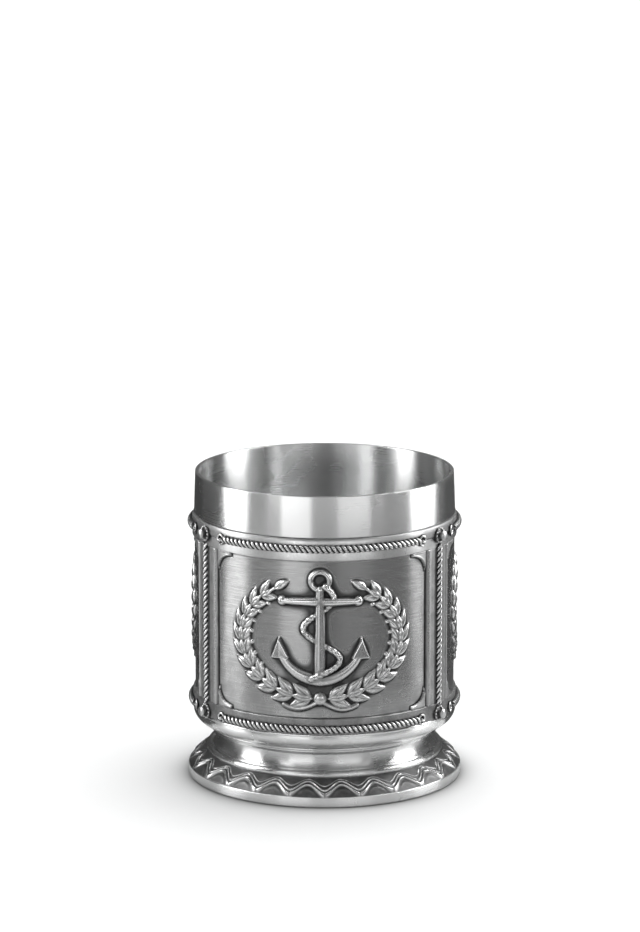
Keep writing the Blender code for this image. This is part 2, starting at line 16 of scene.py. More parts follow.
import bmesh
import bpy
import numpy as np
from bpy.types import ID, Material, Mesh, Node, NodeSocket, NodeTree, Object
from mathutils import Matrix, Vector


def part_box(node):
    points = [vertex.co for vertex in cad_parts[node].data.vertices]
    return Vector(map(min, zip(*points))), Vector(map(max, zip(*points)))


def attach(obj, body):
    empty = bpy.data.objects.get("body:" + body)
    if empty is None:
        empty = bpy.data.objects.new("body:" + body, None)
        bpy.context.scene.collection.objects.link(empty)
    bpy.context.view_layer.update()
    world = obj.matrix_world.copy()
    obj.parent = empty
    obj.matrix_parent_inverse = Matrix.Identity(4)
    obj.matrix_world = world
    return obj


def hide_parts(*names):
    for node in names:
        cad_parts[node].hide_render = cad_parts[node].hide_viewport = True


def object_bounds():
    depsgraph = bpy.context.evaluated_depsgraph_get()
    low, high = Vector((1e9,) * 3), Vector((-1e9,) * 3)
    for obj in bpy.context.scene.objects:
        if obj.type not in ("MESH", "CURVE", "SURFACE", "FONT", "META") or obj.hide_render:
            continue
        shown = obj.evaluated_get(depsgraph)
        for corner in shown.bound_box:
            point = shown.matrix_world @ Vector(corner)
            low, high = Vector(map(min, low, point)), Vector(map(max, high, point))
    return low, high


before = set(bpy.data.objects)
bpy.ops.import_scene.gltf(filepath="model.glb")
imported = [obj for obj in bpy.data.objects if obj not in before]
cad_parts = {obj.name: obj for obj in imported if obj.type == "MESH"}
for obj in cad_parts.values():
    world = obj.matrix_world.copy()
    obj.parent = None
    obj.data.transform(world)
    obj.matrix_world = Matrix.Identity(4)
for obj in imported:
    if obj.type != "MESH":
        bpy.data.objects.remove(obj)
CAD_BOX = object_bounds()

MM = 0.001
WELD = 0.001 * MM
WARMTH = 0.995
log = logging.getLogger("beaker")

Point = tuple[float, float]
Triple = tuple[float, float, float]
Inputs = dict[str, Any]
PANEL_TURNS = {"front": 0.0, "right": math.tau / 3, "left": -math.tau / 3}
POST_TURNS = {"right": math.tau / 6, "left": -math.tau / 6, "back": math.pi}
LEVELS = ("upper", "lower")


class Slot(Enum):
    """Material slots of the record."""

    SATIN = "satin_pewter"
    OXIDISED = "oxidised_pewter"


class Motif(Enum):
    """What stands in the wreath of a relief panel."""

    ANCHOR = "front"
    WHEEL = "right"
    COMPASS = "left"


class Value:
    """A number socket of a node tree that takes part in Python arithmetic."""

    def __init__(self, graph: Graph, socket: NodeSocket) -> None:
        """Keep the graph that owns the socket."""
        self.graph = graph
        self.socket = socket

    def math(self, operation: str, *others: Any) -> Value:
        """Add a Math node of an operation, with values or numbers for its other inputs."""
        values = dict(enumerate((self, *others)))
        return self.graph.result("ShaderNodeMath", {"operation": operation}, values)

    def __add__(self, other: Any) -> Value:
        """Add a value or number."""
        return self.math("ADD", other)

    __radd__ = __add__

    def __mul__(self, other: Any) -> Value:
        """Multiply by a value or number."""
        return self.math("MULTIPLY", other)

    __rmul__ = __mul__

    def __sub__(self, other: Any) -> Value:
        """Take a value or number away."""
        return self.math("SUBTRACT", other)

    def __rsub__(self, other: float) -> Value:
        """Take this value away from a number."""
        return self.graph.result("ShaderNodeMath", {"operation": "SUBTRACT"}, {0: other, 1: self})

    def __truediv__(self, other: Any) -> Value:
        """Divide by a value or number."""
        return self.math("DIVIDE", other)

    def __neg__(self) -> Value:
        """Change the sign."""
        return self.math("MULTIPLY", -1.0)

    def hypot(self, other: Value) -> Value:
        """Give the length of the diagonal over two values."""
        return (self * self + other * other).math("SQRT")

    def most(self, *others: Any) -> Value:
        """Take the largest of this value and others."""
        return reduce(lambda most, other: most.math("MAXIMUM", other), others, self)

    def clamped(self) -> Value:
        """Hold between 0 and 1."""
        return self.most(0.0).math("MINIMUM", 1.0)

    def ramp(self, low: float, high: float) -> Value:
        """Rise smoothly from 0 at the low value to 1 at the high one."""
        values = {0: self, 1: low, 2: high, 3: 0.0, 4: 1.0}
        return self.graph.result("ShaderNodeMapRange", {"interpolation_type": "SMOOTHSTEP"}, values)

    def ridge(self, half_width: float) -> Value:
        """Make a bell that is 1 where this value is 0 and falls off over the half width."""
        share = self / half_width
        return (-(share * share)).math("EXPONENT")


class Graph:
    """A node tree whose nodes all come from one method."""

    def __init__(self, tree: NodeTree) -> None:
        """Keep the tree and empty it."""
        self.tree = tree
        self.tree.nodes.clear()

    def node(self, kind: str, settings: Inputs | None = None, values: Any = None) -> Node:
        """Add a node.

        Args:
            kind: Blender's name of the node type.
            settings: Node properties, set before any socket.
            values: What its sockets get, by their names or numbers: plain values, or links.

        Returns:
            The new node.
        """
        made = self.tree.nodes.new(kind)
        for name, setting in (settings or {}).items():
            setattr(made, name, setting)
        for key, value in (values or {}).items():
            self.feed(made.inputs[key], value)
        return made

    def feed(self, socket: NodeSocket, value: Any) -> None:
        """Feed a socket.

        Args:
            socket: The input socket.
            value: A value or a socket to link, or a plain value to set.
        """
        source = value.socket if isinstance(value, Value) else value
        if isinstance(source, NodeSocket):
            self.tree.links.new(source, socket)
        else:
            socket.default_value = source

    def value(self, node: Node, output: int | str = 0) -> Value:
        """Wrap a node's output as a value."""
        return Value(self, node.outputs[output])

    def result(self, kind: str, settings: Inputs, values: Any) -> Value:
        """Add a node and wrap its first output."""
        return self.value(self.node(kind, settings, values))

    def vector(self, x: Any, y: Any, z: Any) -> NodeSocket:
        """Join three values into a vector."""
        return self.node("ShaderNodeCombineXYZ", None, {0: x, 1: y, 2: z}).outputs[0]

    def parts(self, vector: NodeSocket) -> tuple[Value, Value, Value]:
        """Split a vector into three values."""
        split = self.node("ShaderNodeSeparateXYZ", None, {0: vector})
        return self.value(split, 0), self.value(split, 1), self.value(split, 2)


class Paint(Graph):
    """A material's node tree round one Principled surface."""

    def __init__(self, name: str) -> None:
        """Start an empty material.

        Args:
            name: Name of the material.
        """
        self.material = bpy.data.materials.new(name)
        self.material.use_nodes = True
        super().__init__(self.material.node_tree)
        self.surface = self.node("ShaderNodeBsdfPrincipled")
        self.node("ShaderNodeOutputMaterial", None, {"Surface": self.surface.outputs[0]})

    def place(self) -> NodeSocket:
        """Give the Object coordinates."""
        return self.node("ShaderNodeTexCoord").outputs["Object"]

    def attribute(self, name: str) -> Value:
        """Read a number that is stored on the mesh."""
        return self.value(self.node("ShaderNodeAttribute", {"attribute_name": name}), "Fac")

    def noise(self, scale: Sequence[float], detail: float, rough: float = 0.5) -> Value:
        """Add noise on Object coordinates.

        Args:
            scale: Cells for each metre along X, Y and Z.
            detail: Octaves.
            rough: Share that each finer octave keeps.

        Returns:
            The noise, about 0.5 on average.
        """
        stretched = self.node("ShaderNodeMapping", None, {0: self.place(), 3: tuple(scale)})
        values = {"Vector": stretched.outputs[0], "Scale": 1.0, "Detail": detail, "Roughness": rough}
        return self.result("ShaderNodeTexNoise", {}, values)

    def rings(self, scale: float, detail: float) -> Value:
        """Add noise that changes only along a turned profile, as lathe lines do.

        Args:
            scale: Cells for each metre along the profile.
            detail: Octaves.

        Returns:
            The noise, about 0.5 on average.
        """
        x, y, z = self.parts(self.place())
        values = {"W": (x.hypot(y) + z) * scale, "Scale": 1.0, "Detail": detail}
        return self.result("ShaderNodeTexNoise", {"noise_dimensions": "1D"}, values)

    def mixed(self, share: Value, first: Any, second: Any) -> NodeSocket:
        """Mix two colours, each a grey level or a socket, by the share of the second."""
        values = {0: share, 6: self.grey(first), 7: self.grey(second)}
        return self.node("ShaderNodeMix", {"data_type": "RGBA"}, values).outputs[2]

    @staticmethod
    def grey(level: Any) -> Any:
        """Turn a plain level into the neutral grey of pewter."""
        return (level * WARMTH, level, level, 1.0) if isinstance(level, float) else level

    def set(self, name: str, value: Any) -> None:
        """Feed one socket of the surface with a number, a value or a socket."""
        self.feed(self.surface.inputs[name], value)

    def bump(self, height: Value, depth: float, strength: float) -> None:
        """Dent the surface by a height."""
        values = {"Strength": strength, "Distance": depth, "Height": height}
        self.set("Normal", self.node("ShaderNodeBump", None, values).outputs[0])


@dataclass(frozen=True)
class TurnedPewter:
    """Satin pewter with the fine rings that the lathe leaves."""

    name: str
    shade: float = 0.63
    dull_shade: float = 0.55
    roughness: float = 0.27
    roughness_swing: float = 0.05
    anisotropic: float = 0.965
    anisotropic_rotation: float = 0.25
    ring_scale: float = 5200.0
    ring_depth: float = 0.02 * MM
    ring_strength: float = 0.03
    ring_detail: float = 3.0
    cloud_scale: float = 70.0
    cloud_detail: float = 1.0
    cloud_reach: Point = (0.35, 0.75)
    cloud_share: float = 0.75
    ring_share: float = 0.08
    ring_swing: float = 0.2

    def make(self) -> Material:
        """Build the material.

        Returns:
            The new material.
        """
        paint = Paint(self.name)
        rings = paint.rings(self.ring_scale, self.ring_detail)
        cloud = paint.noise([self.cloud_scale] * 3, self.cloud_detail)
        dull = cloud.ramp(*self.cloud_reach) * self.cloud_share + rings * self.ring_share
        dull = dull.clamped()
        paint.set("Base Color", paint.mixed(dull, self.shade, self.dull_shade))
        paint.set("Metallic", 1.0)
        swing = (cloud - 0.5) + (rings - 0.5) * self.ring_swing
        paint.set("Roughness", (self.roughness + swing * self.roughness_swing).clamped())
        paint.set("Anisotropic", self.anisotropic)
        paint.set("Anisotropic Rotation", self.anisotropic_rotation)
        paint.bump(rings, self.ring_depth, self.ring_strength)
        return paint.material


@dataclass(frozen=True)
class CastPewter:
    """Cast pewter: dark in its recesses, polished on its heights, brushed or sandy where it is flat."""

    name: str
    polished: float = 0.54
    ground: float = 0.33
    sandy: float = 0.38
    dark: float = 0.03
    polished_roughness: float = 0.21
    ground_roughness: float = 0.22
    sandy_roughness: float = 0.40
    dark_roughness: float = 0.48
    grain_scale: float = 2600.0
    grain_detail: float = 3.0
    grain_rough: float = 0.6
    brush_across: float = 160.0
    brush_up: float = 6500.0
    brush_detail: float = 2.0
    cloud_scale: float = 220.0
    cloud_detail: float = 4.0
    tint_cloud: float = 2.4
    tint_grain: float = 0.10
    streak_share: float = 0.55
    streak_brush: float = 1.5
    streak_cloud: float = 0.6
    dust_share: float = 0.9
    dust_grain: float = 1.6
    dust_cloud: float = 0.5
    wear_cloud: float = 0.10
    wear_grain: float = 0.08
    bump_depth: float = 0.03 * MM
    bump_strength: float = 0.22
    bump_grain: float = 0.35
    bump_tint: float = 0.8
    bump_sand: float = 1.5
    bump_brush: float = 0.8

    def make(self) -> Material:
        """Build the material, which reads three mesh attributes: the patina, with painted shade and
        highlights mixed in, the ground and the sand.

        Returns:
            The new material.
        """
        paint = Paint(self.name)
        patina_and_shade = paint.attribute("patina_and_shade")
        ground = paint.attribute("ground")
        sand = paint.attribute("sand")
        grain = paint.noise([self.grain_scale] * 3, self.grain_detail, self.grain_rough)
        cloud = paint.noise([self.cloud_scale] * 3, self.cloud_detail)
        brush = paint.noise((self.brush_across, self.brush_across, self.brush_up), self.brush_detail)
        speckle, drift, stroke = grain - 0.5, cloud - 0.5, brush - 0.5
        # The tint darkens by the patina attribute, which carries painted shade as well as real patina.
        tint = patina_and_shade + patina_and_shade * (1.0 - patina_and_shade) * drift * self.tint_cloud + speckle * self.tint_grain
        tint = tint.clamped()
        streak = ground * (self.streak_share + stroke * self.streak_brush + drift * self.streak_cloud)
        streak = streak.clamped()
        clean = paint.mixed(streak, self.polished, self.ground)
        dusty = sand * (self.dust_share + speckle * self.dust_grain + drift * self.dust_cloud)
        dusty = dusty.clamped()
        paint.set("Base Color", paint.mixed(tint, paint.mixed(dusty, clean, self.sandy), self.dark))
        paint.set("Metallic", 1.0)
        base = self.polished_roughness + streak * (self.ground_roughness - self.polished_roughness)
        base = base + dusty * (self.sandy_roughness - self.polished_roughness)
        worn = base + drift * self.wear_cloud + speckle * self.wear_grain
        paint.set("Roughness", (worn + tint * (self.dark_roughness - self.polished_roughness)).clamped())
        height = grain * (self.bump_grain + tint * self.bump_tint + sand * self.bump_sand)
        height = height + brush * ground * self.bump_brush
        paint.bump(height, self.bump_depth, self.bump_strength)
        return paint.material


def placed(name: str, data: ID) -> Object:
    """Put new data into the scene.

    Args:
        name: Name of the object.
        data: Its mesh, lamp or camera.

    Returns:
        The new object.
    """
    piece = bpy.data.objects.new(name, data)
    bpy.context.scene.collection.objects.link(piece)
    return piece


class Recipe(Graph):
    """A Geometry Nodes tree with named inputs."""

    def __init__(self, name: str) -> None:
        """Start an empty tree with a geometry going in and out.

        Args:
            name: Name of the tree.
        """
        super().__init__(bpy.data.node_groups.new(name, "GeometryNodeTree"))
        self.identifiers: dict[str, str] = {}
        self.entry = self.node("NodeGroupInput")
        self.outlet = self.node("NodeGroupOutput")
        self.tree.interface.new_socket("Geometry", in_out="INPUT", socket_type="NodeSocketGeometry")
        self.tree.interface.new_socket("Geometry", in_out="OUTPUT", socket_type="NodeSocketGeometry")

    def size(self, name: str, kind: str = "NodeSocketFloat") -> Value:
        """Add a named input.

        Args:
            name: Name of the input.
            kind: Blender's name of its socket type.

        Returns:
            The input's value.
        """
        socket = self.tree.interface.new_socket(name, in_out="INPUT", socket_type=kind)
        self.identifiers[name] = socket.identifier
        return self.value(self.entry, name)

    def sizes(self, *names: str) -> list[Value]:
        """Add several named inputs."""
        return [self.size(name) for name in names]

    def count(self, name: str) -> Value:
        """Add a named whole number."""
        return self.size(name, "NodeSocketInt")

    def place(self) -> NodeSocket:
        """Give the place of each point."""
        return self.node("GeometryNodeInputPosition").outputs[0]

    def around(self, radius: Value, turn: Value, height: Value) -> NodeSocket:
        """Give the spot at a radius, a turn and a height."""
        return self.vector(radius * turn.math("SINE"), -(radius * turn.math("COSINE")), height)

    def close(self, geometry: NodeSocket) -> None:
        """End the tree in Realize Instances and Set Material.

        Args:
            geometry: What the tree has made.
        """
        finish = self.size("Finish", "NodeSocketMaterial")
        smooth = self.node("GeometryNodeSetShadeSmooth", None, {"Geometry": geometry})
        real = self.node("GeometryNodeRealizeInstances", None, {0: smooth.outputs[0]})
        values = {"Geometry": real.outputs[0], "Material": finish}
        dressed = self.node("GeometryNodeSetMaterial", None, values)
        self.tree.links.new(dressed.outputs[0], self.outlet.inputs[0])

    def store(self, geometry: NodeSocket, name: str, value: Value) -> NodeSocket:
        """Store a number on the points of a geometry."""
        values = {"Geometry": geometry, "Name": name, "Value": value}
        return self.node("GeometryNodeStoreNamedAttribute", None, values).outputs[0]

    def grow(self, name: str, sizes: Inputs, seed: Mesh | None = None) -> Object:
        """Run the tree and keep its result as a plain mesh.

        Args:
            name: Name of the piece.
            sizes: The inputs by name.
            seed: Mesh that goes in, if the tree reads one.

        Returns:
            The piece, with no modifier left on it.
        """
        piece = placed(name, seed or bpy.data.meshes.new(name))
        modifier = piece.modifiers.new("Recipe", "NODES")
        modifier.node_group = self.tree
        for label, setting in sizes.items():
            modifier[self.identifiers[label]] = setting
        graph = bpy.context.evaluated_depsgraph_get()
        made = bpy.data.meshes.new_from_object(
            piece.evaluated_get(graph), preserve_all_data_layers=True, depsgraph=graph
        )
        piece.modifiers.clear()
        piece.data = made
        made.name = name
        for number in reversed(range(len(made.materials))):
            if made.materials[number] is None:
                made.materials.pop(index=number)
        return piece


@dataclass(frozen=True)
class WaveShape:
    """Form, patina, painted shade and painted highlights of the wave border.

    Widths and drops are in line widths, apart from three widths: the groove's and the channel's are
    shares of the gap between two lines, and the seam's is a share of the cusp. A reach is where a ramp
    starts and where it ends.
    """

    flare_start: Point = (0.0, 0.02)
    flare_end: Point = (0.985, 1.0)
    cusp_share: float = 0.22
    top_width: float = 0.6
    top_rise: float = 0.55
    top_shine: float = 0.75
    upper_width: float = 1.1
    upper_rise: float = 0.85
    lower_width: float = 1.6
    lower_spread: float = 3.2
    groove_place: float = 0.45
    groove_width: float = 0.40
    groove_dull: float = 0.8
    channel_width: float = 0.34
    channel_patina: float = 0.96
    shade_drop: float = 4.4
    shade_width: float = 2.4
    shade_reach: Point = (0.3, 0.75)
    shade_sink: float = 0.7
    arch_drop: float = 9.5
    arch_width: float = 2.8
    arch_reach: Point = (0.45, 0.8)
    arch_rise: float = 0.2
    arch_highlight: float = 0.06
    seam_width: float = 0.055
    seam_reach: Point = (0.5, 2.0)
    seam_dark: float = 0.95
    seam_dull: float = 0.8
    above_reach: Point = (-1.5, 0.0)
    above_clear: float = 0.07
    sink: float = 0.35
    bare_patina: float = 0.93


class Turning(Recipe):
    """Spins a profile, a mesh of points in order with radius in X and height in Z.

    A profile point may store a share, its place on the foot's flare, where the running wave is raised.
    """

    def __init__(self, name: str, shape: WaveShape | None = None) -> None:
        """Build the tree.

        Args:
            name: Name of the tree.
            shape: The wave border to raise on the points that store a share, if there is one.
        """
        super().__init__(name)
        segments = self.count("Segments")
        rows = self.count("Rows")
        values = {0: 1.0, 1: 1.0, 2: segments + 1.0, 3: rows}
        grid = self.node("GeometryNodeMeshGrid", None, values)
        across, along, _ = self.parts(self.place())
        row = ((along + 0.5) * (rows - 1.0)).math("ROUND")
        self.profile = self.entry.outputs[0]
        radius, _, height = self.parts(self.sampled(row, "FLOAT_VECTOR", self.place()))
        turn = (across + 0.5) * math.tau
        tint: Value = radius * 0.0
        if shape is not None:
            radius, height, tint = self.wave(shape, row, turn, radius, height)
        kept = self.store(grid.outputs[0], "patina_and_shade", tint)
        values = {"Geometry": kept, "Position": self.around(radius, turn, height)}
        spun = self.node("GeometryNodeSetPosition", None, values)
        merged = self.node("GeometryNodeMergeByDistance", None, {0: spun.outputs[0], 2: WELD})
        self.close(merged.outputs[0])

    def sampled(self, row: Value, kind: str, reading: NodeSocket) -> NodeSocket:
        """Read something from a row's profile point."""
        values = {"Geometry": self.profile, "Value": reading, "Index": row}
        return self.node("GeometryNodeSampleIndex", {"data_type": kind}, values).outputs[0]

    def wave(
        self, shape: WaveShape, row: Value, turn: Value, radius: Value, height: Value
    ) -> tuple[Value, Value, Value]:
        """Raise the wave border: three lines that run together, with a lobe under each crest.

        Args:
            shape: Its form.
            row: Index of the profile point.
            turn: Angle about the axis.
            radius: Plain radius.
            height: Plain height.

        Returns:
            The raised radius, the raised height and the patina, with a painted shadow under the third
            line and a painted highlight on each lobe's arch.
        """
        waves, trough_turn = self.sizes("Waves", "Trough turn")
        width, line_height = self.sizes("Line share", "Line relief")
        out, up = self.sizes("Outward", "Upward")
        named = self.node("GeometryNodeInputNamedAttribute", {"data_type": "FLOAT"}, {"Name": "share"})
        share = Value(self, self.sampled(row, "FLOAT", named.outputs[0]))
        on_flare = share.ramp(*shape.flare_start) * (1.0 - share.ramp(*shape.flare_end))
        phase = (turn - trough_turn) * waves
        cusp = (phase * 0.5).math("SINE").math("ABSOLUTE")
        swing = (0.5 - phase.math("COSINE") * 0.5) * (1.0 - shape.cusp_share)
        swing = cusp * shape.cusp_share + swing
        levels = [self.level(name, swing) for name in ("First", "Second", "Third")]
        first, second, third = levels
        under_first, under_second, under_third = ((share - level) / width for level in levels)
        low = 1.0 - swing
        top = under_first.ridge(shape.top_width)
        upper = under_second.ridge(shape.upper_width)
        lower = (under_third / (shape.lower_width + low * low * shape.lower_spread)).ridge(1.0)
        groove = second * (1.0 - shape.groove_place) + third * shape.groove_place
        groove = ((share - groove) / (third - second)).ridge(shape.groove_width)
        channel = ((share - (first + second) * 0.5) / (second - first)).ridge(shape.channel_width)
        # Painted shadow under the third line at the crests; it also sinks the surface a little.
        shade = (under_third - shape.shade_drop).ridge(shape.shade_width)
        shade = shade * swing.ramp(*shape.shade_reach)
        arch = (under_third - shape.arch_drop).ridge(shape.arch_width) * swing.ramp(*shape.arch_reach)
        seam = cusp.ridge(shape.seam_width) * under_second.ramp(*shape.seam_reach)
        above = 1.0 - under_first.ramp(*shape.above_reach)
        lines = lower.most(top * shape.top_rise, upper * shape.upper_rise)
        sunk = (groove + shade * shape.shade_sink + seam).math("MINIMUM", 1.0)
        relief = (lines + arch * shape.arch_rise - sunk * shape.sink) * line_height * on_flare
        dark = shape.bare_patina - above * shape.above_clear
        dark = dark.most(groove, shade, channel * shape.channel_patina, seam * shape.seam_dark)
        # The arch term paints a highlight on each lobe under the crests.
        shine = top * shape.top_shine + upper + lower * (1.0 - groove * shape.groove_dull)
        shine = (shine + arch * shape.arch_highlight).clamped() * (1.0 - seam * shape.seam_dull)
        return radius + relief * out, height + relief * up, on_flare * dark * (1.0 - shine)

    def level(self, name: str, swing: Value) -> Value:
        """Give a wave line's place on the flare from two inputs, its crest and its trough."""
        crest, trough = self.sizes(f"{name} crest", f"{name} trough")
        return trough + (crest - trough) * swing


class Rope(Recipe):
    """Lays twisted strands along a path on the mantle, level or upright, between curled scrolls."""

    crown_reach: Point = (0.84, 1.0)
    crown_upright: float = 0.1
    flank_reach: Point = (0.3, 0.85)
    flank_upright: float = 0.9
    curl_reach: Point = (0.25, 0.75)
    curl_swell: float = 0.25
    disc_shine: float = 0.05
    upright_sand: float = 0.1

    def __init__(self) -> None:
        """Build the tree."""
        super().__init__("Rope moulding")
        strands = self.count("Strands")
        points = self.count("Points")
        self.sides = self.count("Sides")
        strand, lay, self.reach = self.sizes("Strand radius", "Lay radius", "Path radius")
        self.first_turn, self.last_turn = self.sizes("First turn", "Last turn")
        self.first_height, self.last_height = self.sizes("First height", "Last height")
        upright, twists = self.sizes("Upright", "Twists")
        copies, share, number = self.paths(points, strands)
        phase = number / strands * math.tau - share * twists * math.tau
        aside = lay * phase.math("SINE")
        radius = self.reach + lay * phase.math("COSINE")
        along = self.first_turn + (self.last_turn - self.first_turn) * share
        turn = along - aside * upright / self.reach
        height = self.first_height + (self.last_height - self.first_height) * share
        height = height + aside * (1.0 - upright)
        twisted = self.skin(copies, radius, turn, height, strand)
        x, y, z = self.parts(self.place())
        reach = x.hypot(y)
        beside = x * self.first_turn.math("COSINE") + y * self.first_turn.math("SINE")
        beside = (z - self.first_height) * (1.0 - upright) + beside * upright
        lift = reach - self.reach
        crown = lift.hypot(beside) / (lay + strand)
        crown = (crown + upright * self.crown_upright).ramp(*self.crown_reach)
        flank = (lift / (lay + strand) + upright * self.flank_upright).ramp(*self.flank_reach)
        twisted = self.store(twisted, "patina_and_shade", 1.0 - crown * flank)
        nx, ny, _ = self.parts(self.node("GeometryNodeInputNormal").outputs[0])
        facing = (x * nx + y * ny) / reach
        curls, discs = self.scrolls()
        curls = self.store(curls, "patina_and_shade", 1.0 - facing.ramp(*self.curl_reach))
        discs = self.store(discs, "patina_and_shade", 1.0 - facing * self.disc_shine)
        twisted = self.store(twisted, "sand", upright * self.upright_sand)
        joined = self.node("GeometryNodeJoinGeometry")
        for part in (twisted, curls, discs):
            self.tree.links.new(part, joined.inputs[0])
        self.close(joined.outputs[0])

    def paths(self, points: Value, copies: Value) -> tuple[NodeSocket, Value, Value]:
        """Make copies of a straight path.

        Args:
            points: Points on each path.
            copies: How many paths.

        Returns:
            The paths, the place of a point along its path and the number of its path.
        """
        line = self.node("GeometryNodeCurvePrimitiveLine")
        values = {"Curve": line.outputs[0], "Count": points}
        fine = self.node("GeometryNodeResampleCurve", {"mode": "COUNT"}, values)
        values = {"Geometry": fine.outputs[0], "Amount": copies}
        made = self.node("GeometryNodeDuplicateElements", {"domain": "SPLINE"}, values)
        share = self.value(self.node("GeometryNodeSplineParameter"))
        return made.outputs[0], share, self.value(made, "Duplicate Index")

    def skin(
        self, paths: NodeSocket, radius: Value, turn: Value, height: Value, tube: Value
    ) -> NodeSocket:
        """Move paths on to the mantle and give them a round section.

        Args:
            paths: The paths.
            radius: Distance of each point from the axis.
            turn: Turn of each point.
            height: Height of each point.
            tube: Radius of the section.

        Returns:
            The mesh of the tubes.
        """
        values = {"Geometry": paths, "Position": self.around(radius, turn, height)}
        laid = self.node("GeometryNodeSetPosition", None, values)
        values = {"Resolution": self.sides, "Radius": 1.0}
        circle = self.node("GeometryNodeCurvePrimitiveCircle", None, values)
        values = {"Curve": laid.outputs[0], "Profile Curve": circle.outputs[0]}
        values |= {"Scale": tube, "Fill Caps": True}
        return self.node("GeometryNodeCurveToMesh", None, values).outputs[0]

    def scrolls(self) -> tuple[NodeSocket, NodeSocket]:
        """Curl a flat scroll past each end of the rope, from its eye out to the rope's lower edge.

        Returns:
            The scrolls and the dark discs that lie under them.
        """
        outer, eye, tube = self.sizes("Scroll radius", "Scroll eye", "Scroll tube")
        winds, sweep, rise = self.sizes("Scroll curls", "Scroll turn", "Scroll rise")
        ends = self.count("Scrolls")
        middle_turn = (self.first_turn + self.last_turn) * 0.5
        middle_height = (self.first_height + self.last_height) * 0.5
        copies, share, number = self.paths(self.count("Scroll points"), ends)
        mirror = 1.0 - number * 2.0
        angle = -math.pi / 2 - (1.0 - share) * winds * math.tau
        reach = eye + (outer - eye) * share
        along = sweep + angle.math("COSINE") * reach / self.reach
        turn = middle_turn + mirror * along
        height = middle_height + angle.math("SINE") * reach
        radius = self.reach + rise * (1.0 - share)
        swell = 1.0 + self.curl_swell - share * self.curl_swell
        curls = self.skin(copies, radius, turn, height, tube * swell)
        copies, share, number = self.paths(self.count("Disc points"), ends)
        turn = middle_turn + (1.0 - number * 2.0) * sweep
        level = middle_height + share * 0.0
        sunk = self.size("Disc level")
        return curls, self.skin(copies, self.reach + sunk * (2.0 - share), turn, level, outer)


class Rosette(Recipe):
    """A domed knob on a stem, in a dark recess with a ring of beads round it."""

    knob_mesh: tuple[int, int] = (28, 16)
    knob_reach: Point = (-0.4, 0.2)
    knob_sand: float = 0.9
    stem_sides: int = 16
    plate_sides: int = 32
    bead_mesh: tuple[int, int] = (12, 8)
    bead_width: float = 0.9
    bead_reach: Point = (-0.1, 0.6)
    recess_patina: float = 0.88

    def __init__(self) -> None:
        """Build the tree."""
        super().__init__("Rosette")
        knob, half_depth, level = self.sizes("Knob radius", "Knob half depth", "Knob level")
        bead, bead_ring, bead_level = self.sizes("Bead radius", "Bead ring", "Bead level")
        stem, plate, base = self.sizes("Stem radius", "Plate radius", "Seat radius")
        turn, height = self.sizes("Turn", "Height")
        beads = self.count("Beads")
        swell = self.vector(knob, knob, half_depth)
        dome = self.raised(self.ball(*self.knob_mesh, 1.0), level, swell)
        shaft = self.raised(self.drum(self.stem_sides, stem, level), level * 0.5)
        disc = self.drum(self.plate_sides, plate, bead)
        ring = self.node("GeometryNodeMeshCircle", None, {"Vertices": beads, "Radius": bead_ring})
        values = {"Points": ring.outputs[0], "Instance": self.ball(*self.bead_mesh, bead)}
        pearls = self.node("GeometryNodeInstanceOnPoints", None, values).outputs[0]
        pearls = self.raised(pearls, bead_level)
        joined = self.node("GeometryNodeJoinGeometry")
        for part in (disc, shaft, pearls, dome):
            self.tree.links.new(part, joined.inputs[0])
        real = self.node("GeometryNodeRealizeInstances", None, {0: joined.outputs[0]})
        x, y, depth = self.parts(self.place())
        on_knob = ((depth - level) / half_depth).ramp(*self.knob_reach)
        on_bead = ((x.hypot(y) - bead_ring) / bead).ridge(self.bead_width)
        on_bead = on_bead * ((depth - bead_level) / bead).ramp(*self.bead_reach)
        recess = (1.0 - on_knob.most(on_bead)) * self.recess_patina
        tinted = self.store(real.outputs[0], "patina_and_shade", recess)
        tinted = self.store(tinted, "sand", on_knob * self.knob_sand)
        facing = self.node("FunctionNodeEulerToRotation", None, {0: self.vector(math.pi / 2, 0.0, turn)})
        values = {"Geometry": tinted, "Translation": self.around(base, turn, height)}
        values["Rotation"] = facing.outputs[0]
        self.close(self.node("GeometryNodeTransform", None, values).outputs[0])

    def ball(self, segments: int, rings: int, radius: Any) -> NodeSocket:
        """Make a ball."""
        values = {"Segments": segments, "Rings": rings, "Radius": radius}
        return self.node("GeometryNodeMeshUVSphere", None, values).outputs[0]

    def drum(self, sides: int, radius: Value, depth: Value) -> NodeSocket:
        """Make a round drum that stands on its end."""
        values = {"Vertices": sides, "Radius": radius, "Depth": depth}
        return self.node("GeometryNodeMeshCylinder", None, values).outputs[0]

    def raised(self, geometry: NodeSocket, rise: Value, scale: Any = (1.0, 1.0, 1.0)) -> NodeSocket:
        """Raise and scale a geometry."""
        values = {"Geometry": geometry, "Translation": self.vector(0.0, 0.0, rise), "Scale": scale}
        return self.node("GeometryNodeTransform", None, values).outputs[0]


def arc(centre: Point, radii: Point, start: float, end: float, steps: int = 12) -> list[Point]:
    """List points of an elliptic arc of a profile.

    Args:
        centre: Radius and height of its centre.
        radii: Half axes along the radius and the height.
        start: First angle in degrees from the outward direction.
        end: Last angle.
        steps: How many pieces.

    Returns:
        The points.
    """
    angles = np.radians(np.linspace(start, end, steps + 1))
    return [(centre[0] + radii[0] * math.cos(a), centre[1] + radii[1] * math.sin(a)) for a in angles]


def keep(mesh: Mesh, name: str, values: Sequence[float] | np.ndarray) -> None:
    """Store a number on each vertex of a mesh."""
    mesh.attributes.new(name, "FLOAT", "POINT").data.foreach_set("value", values)


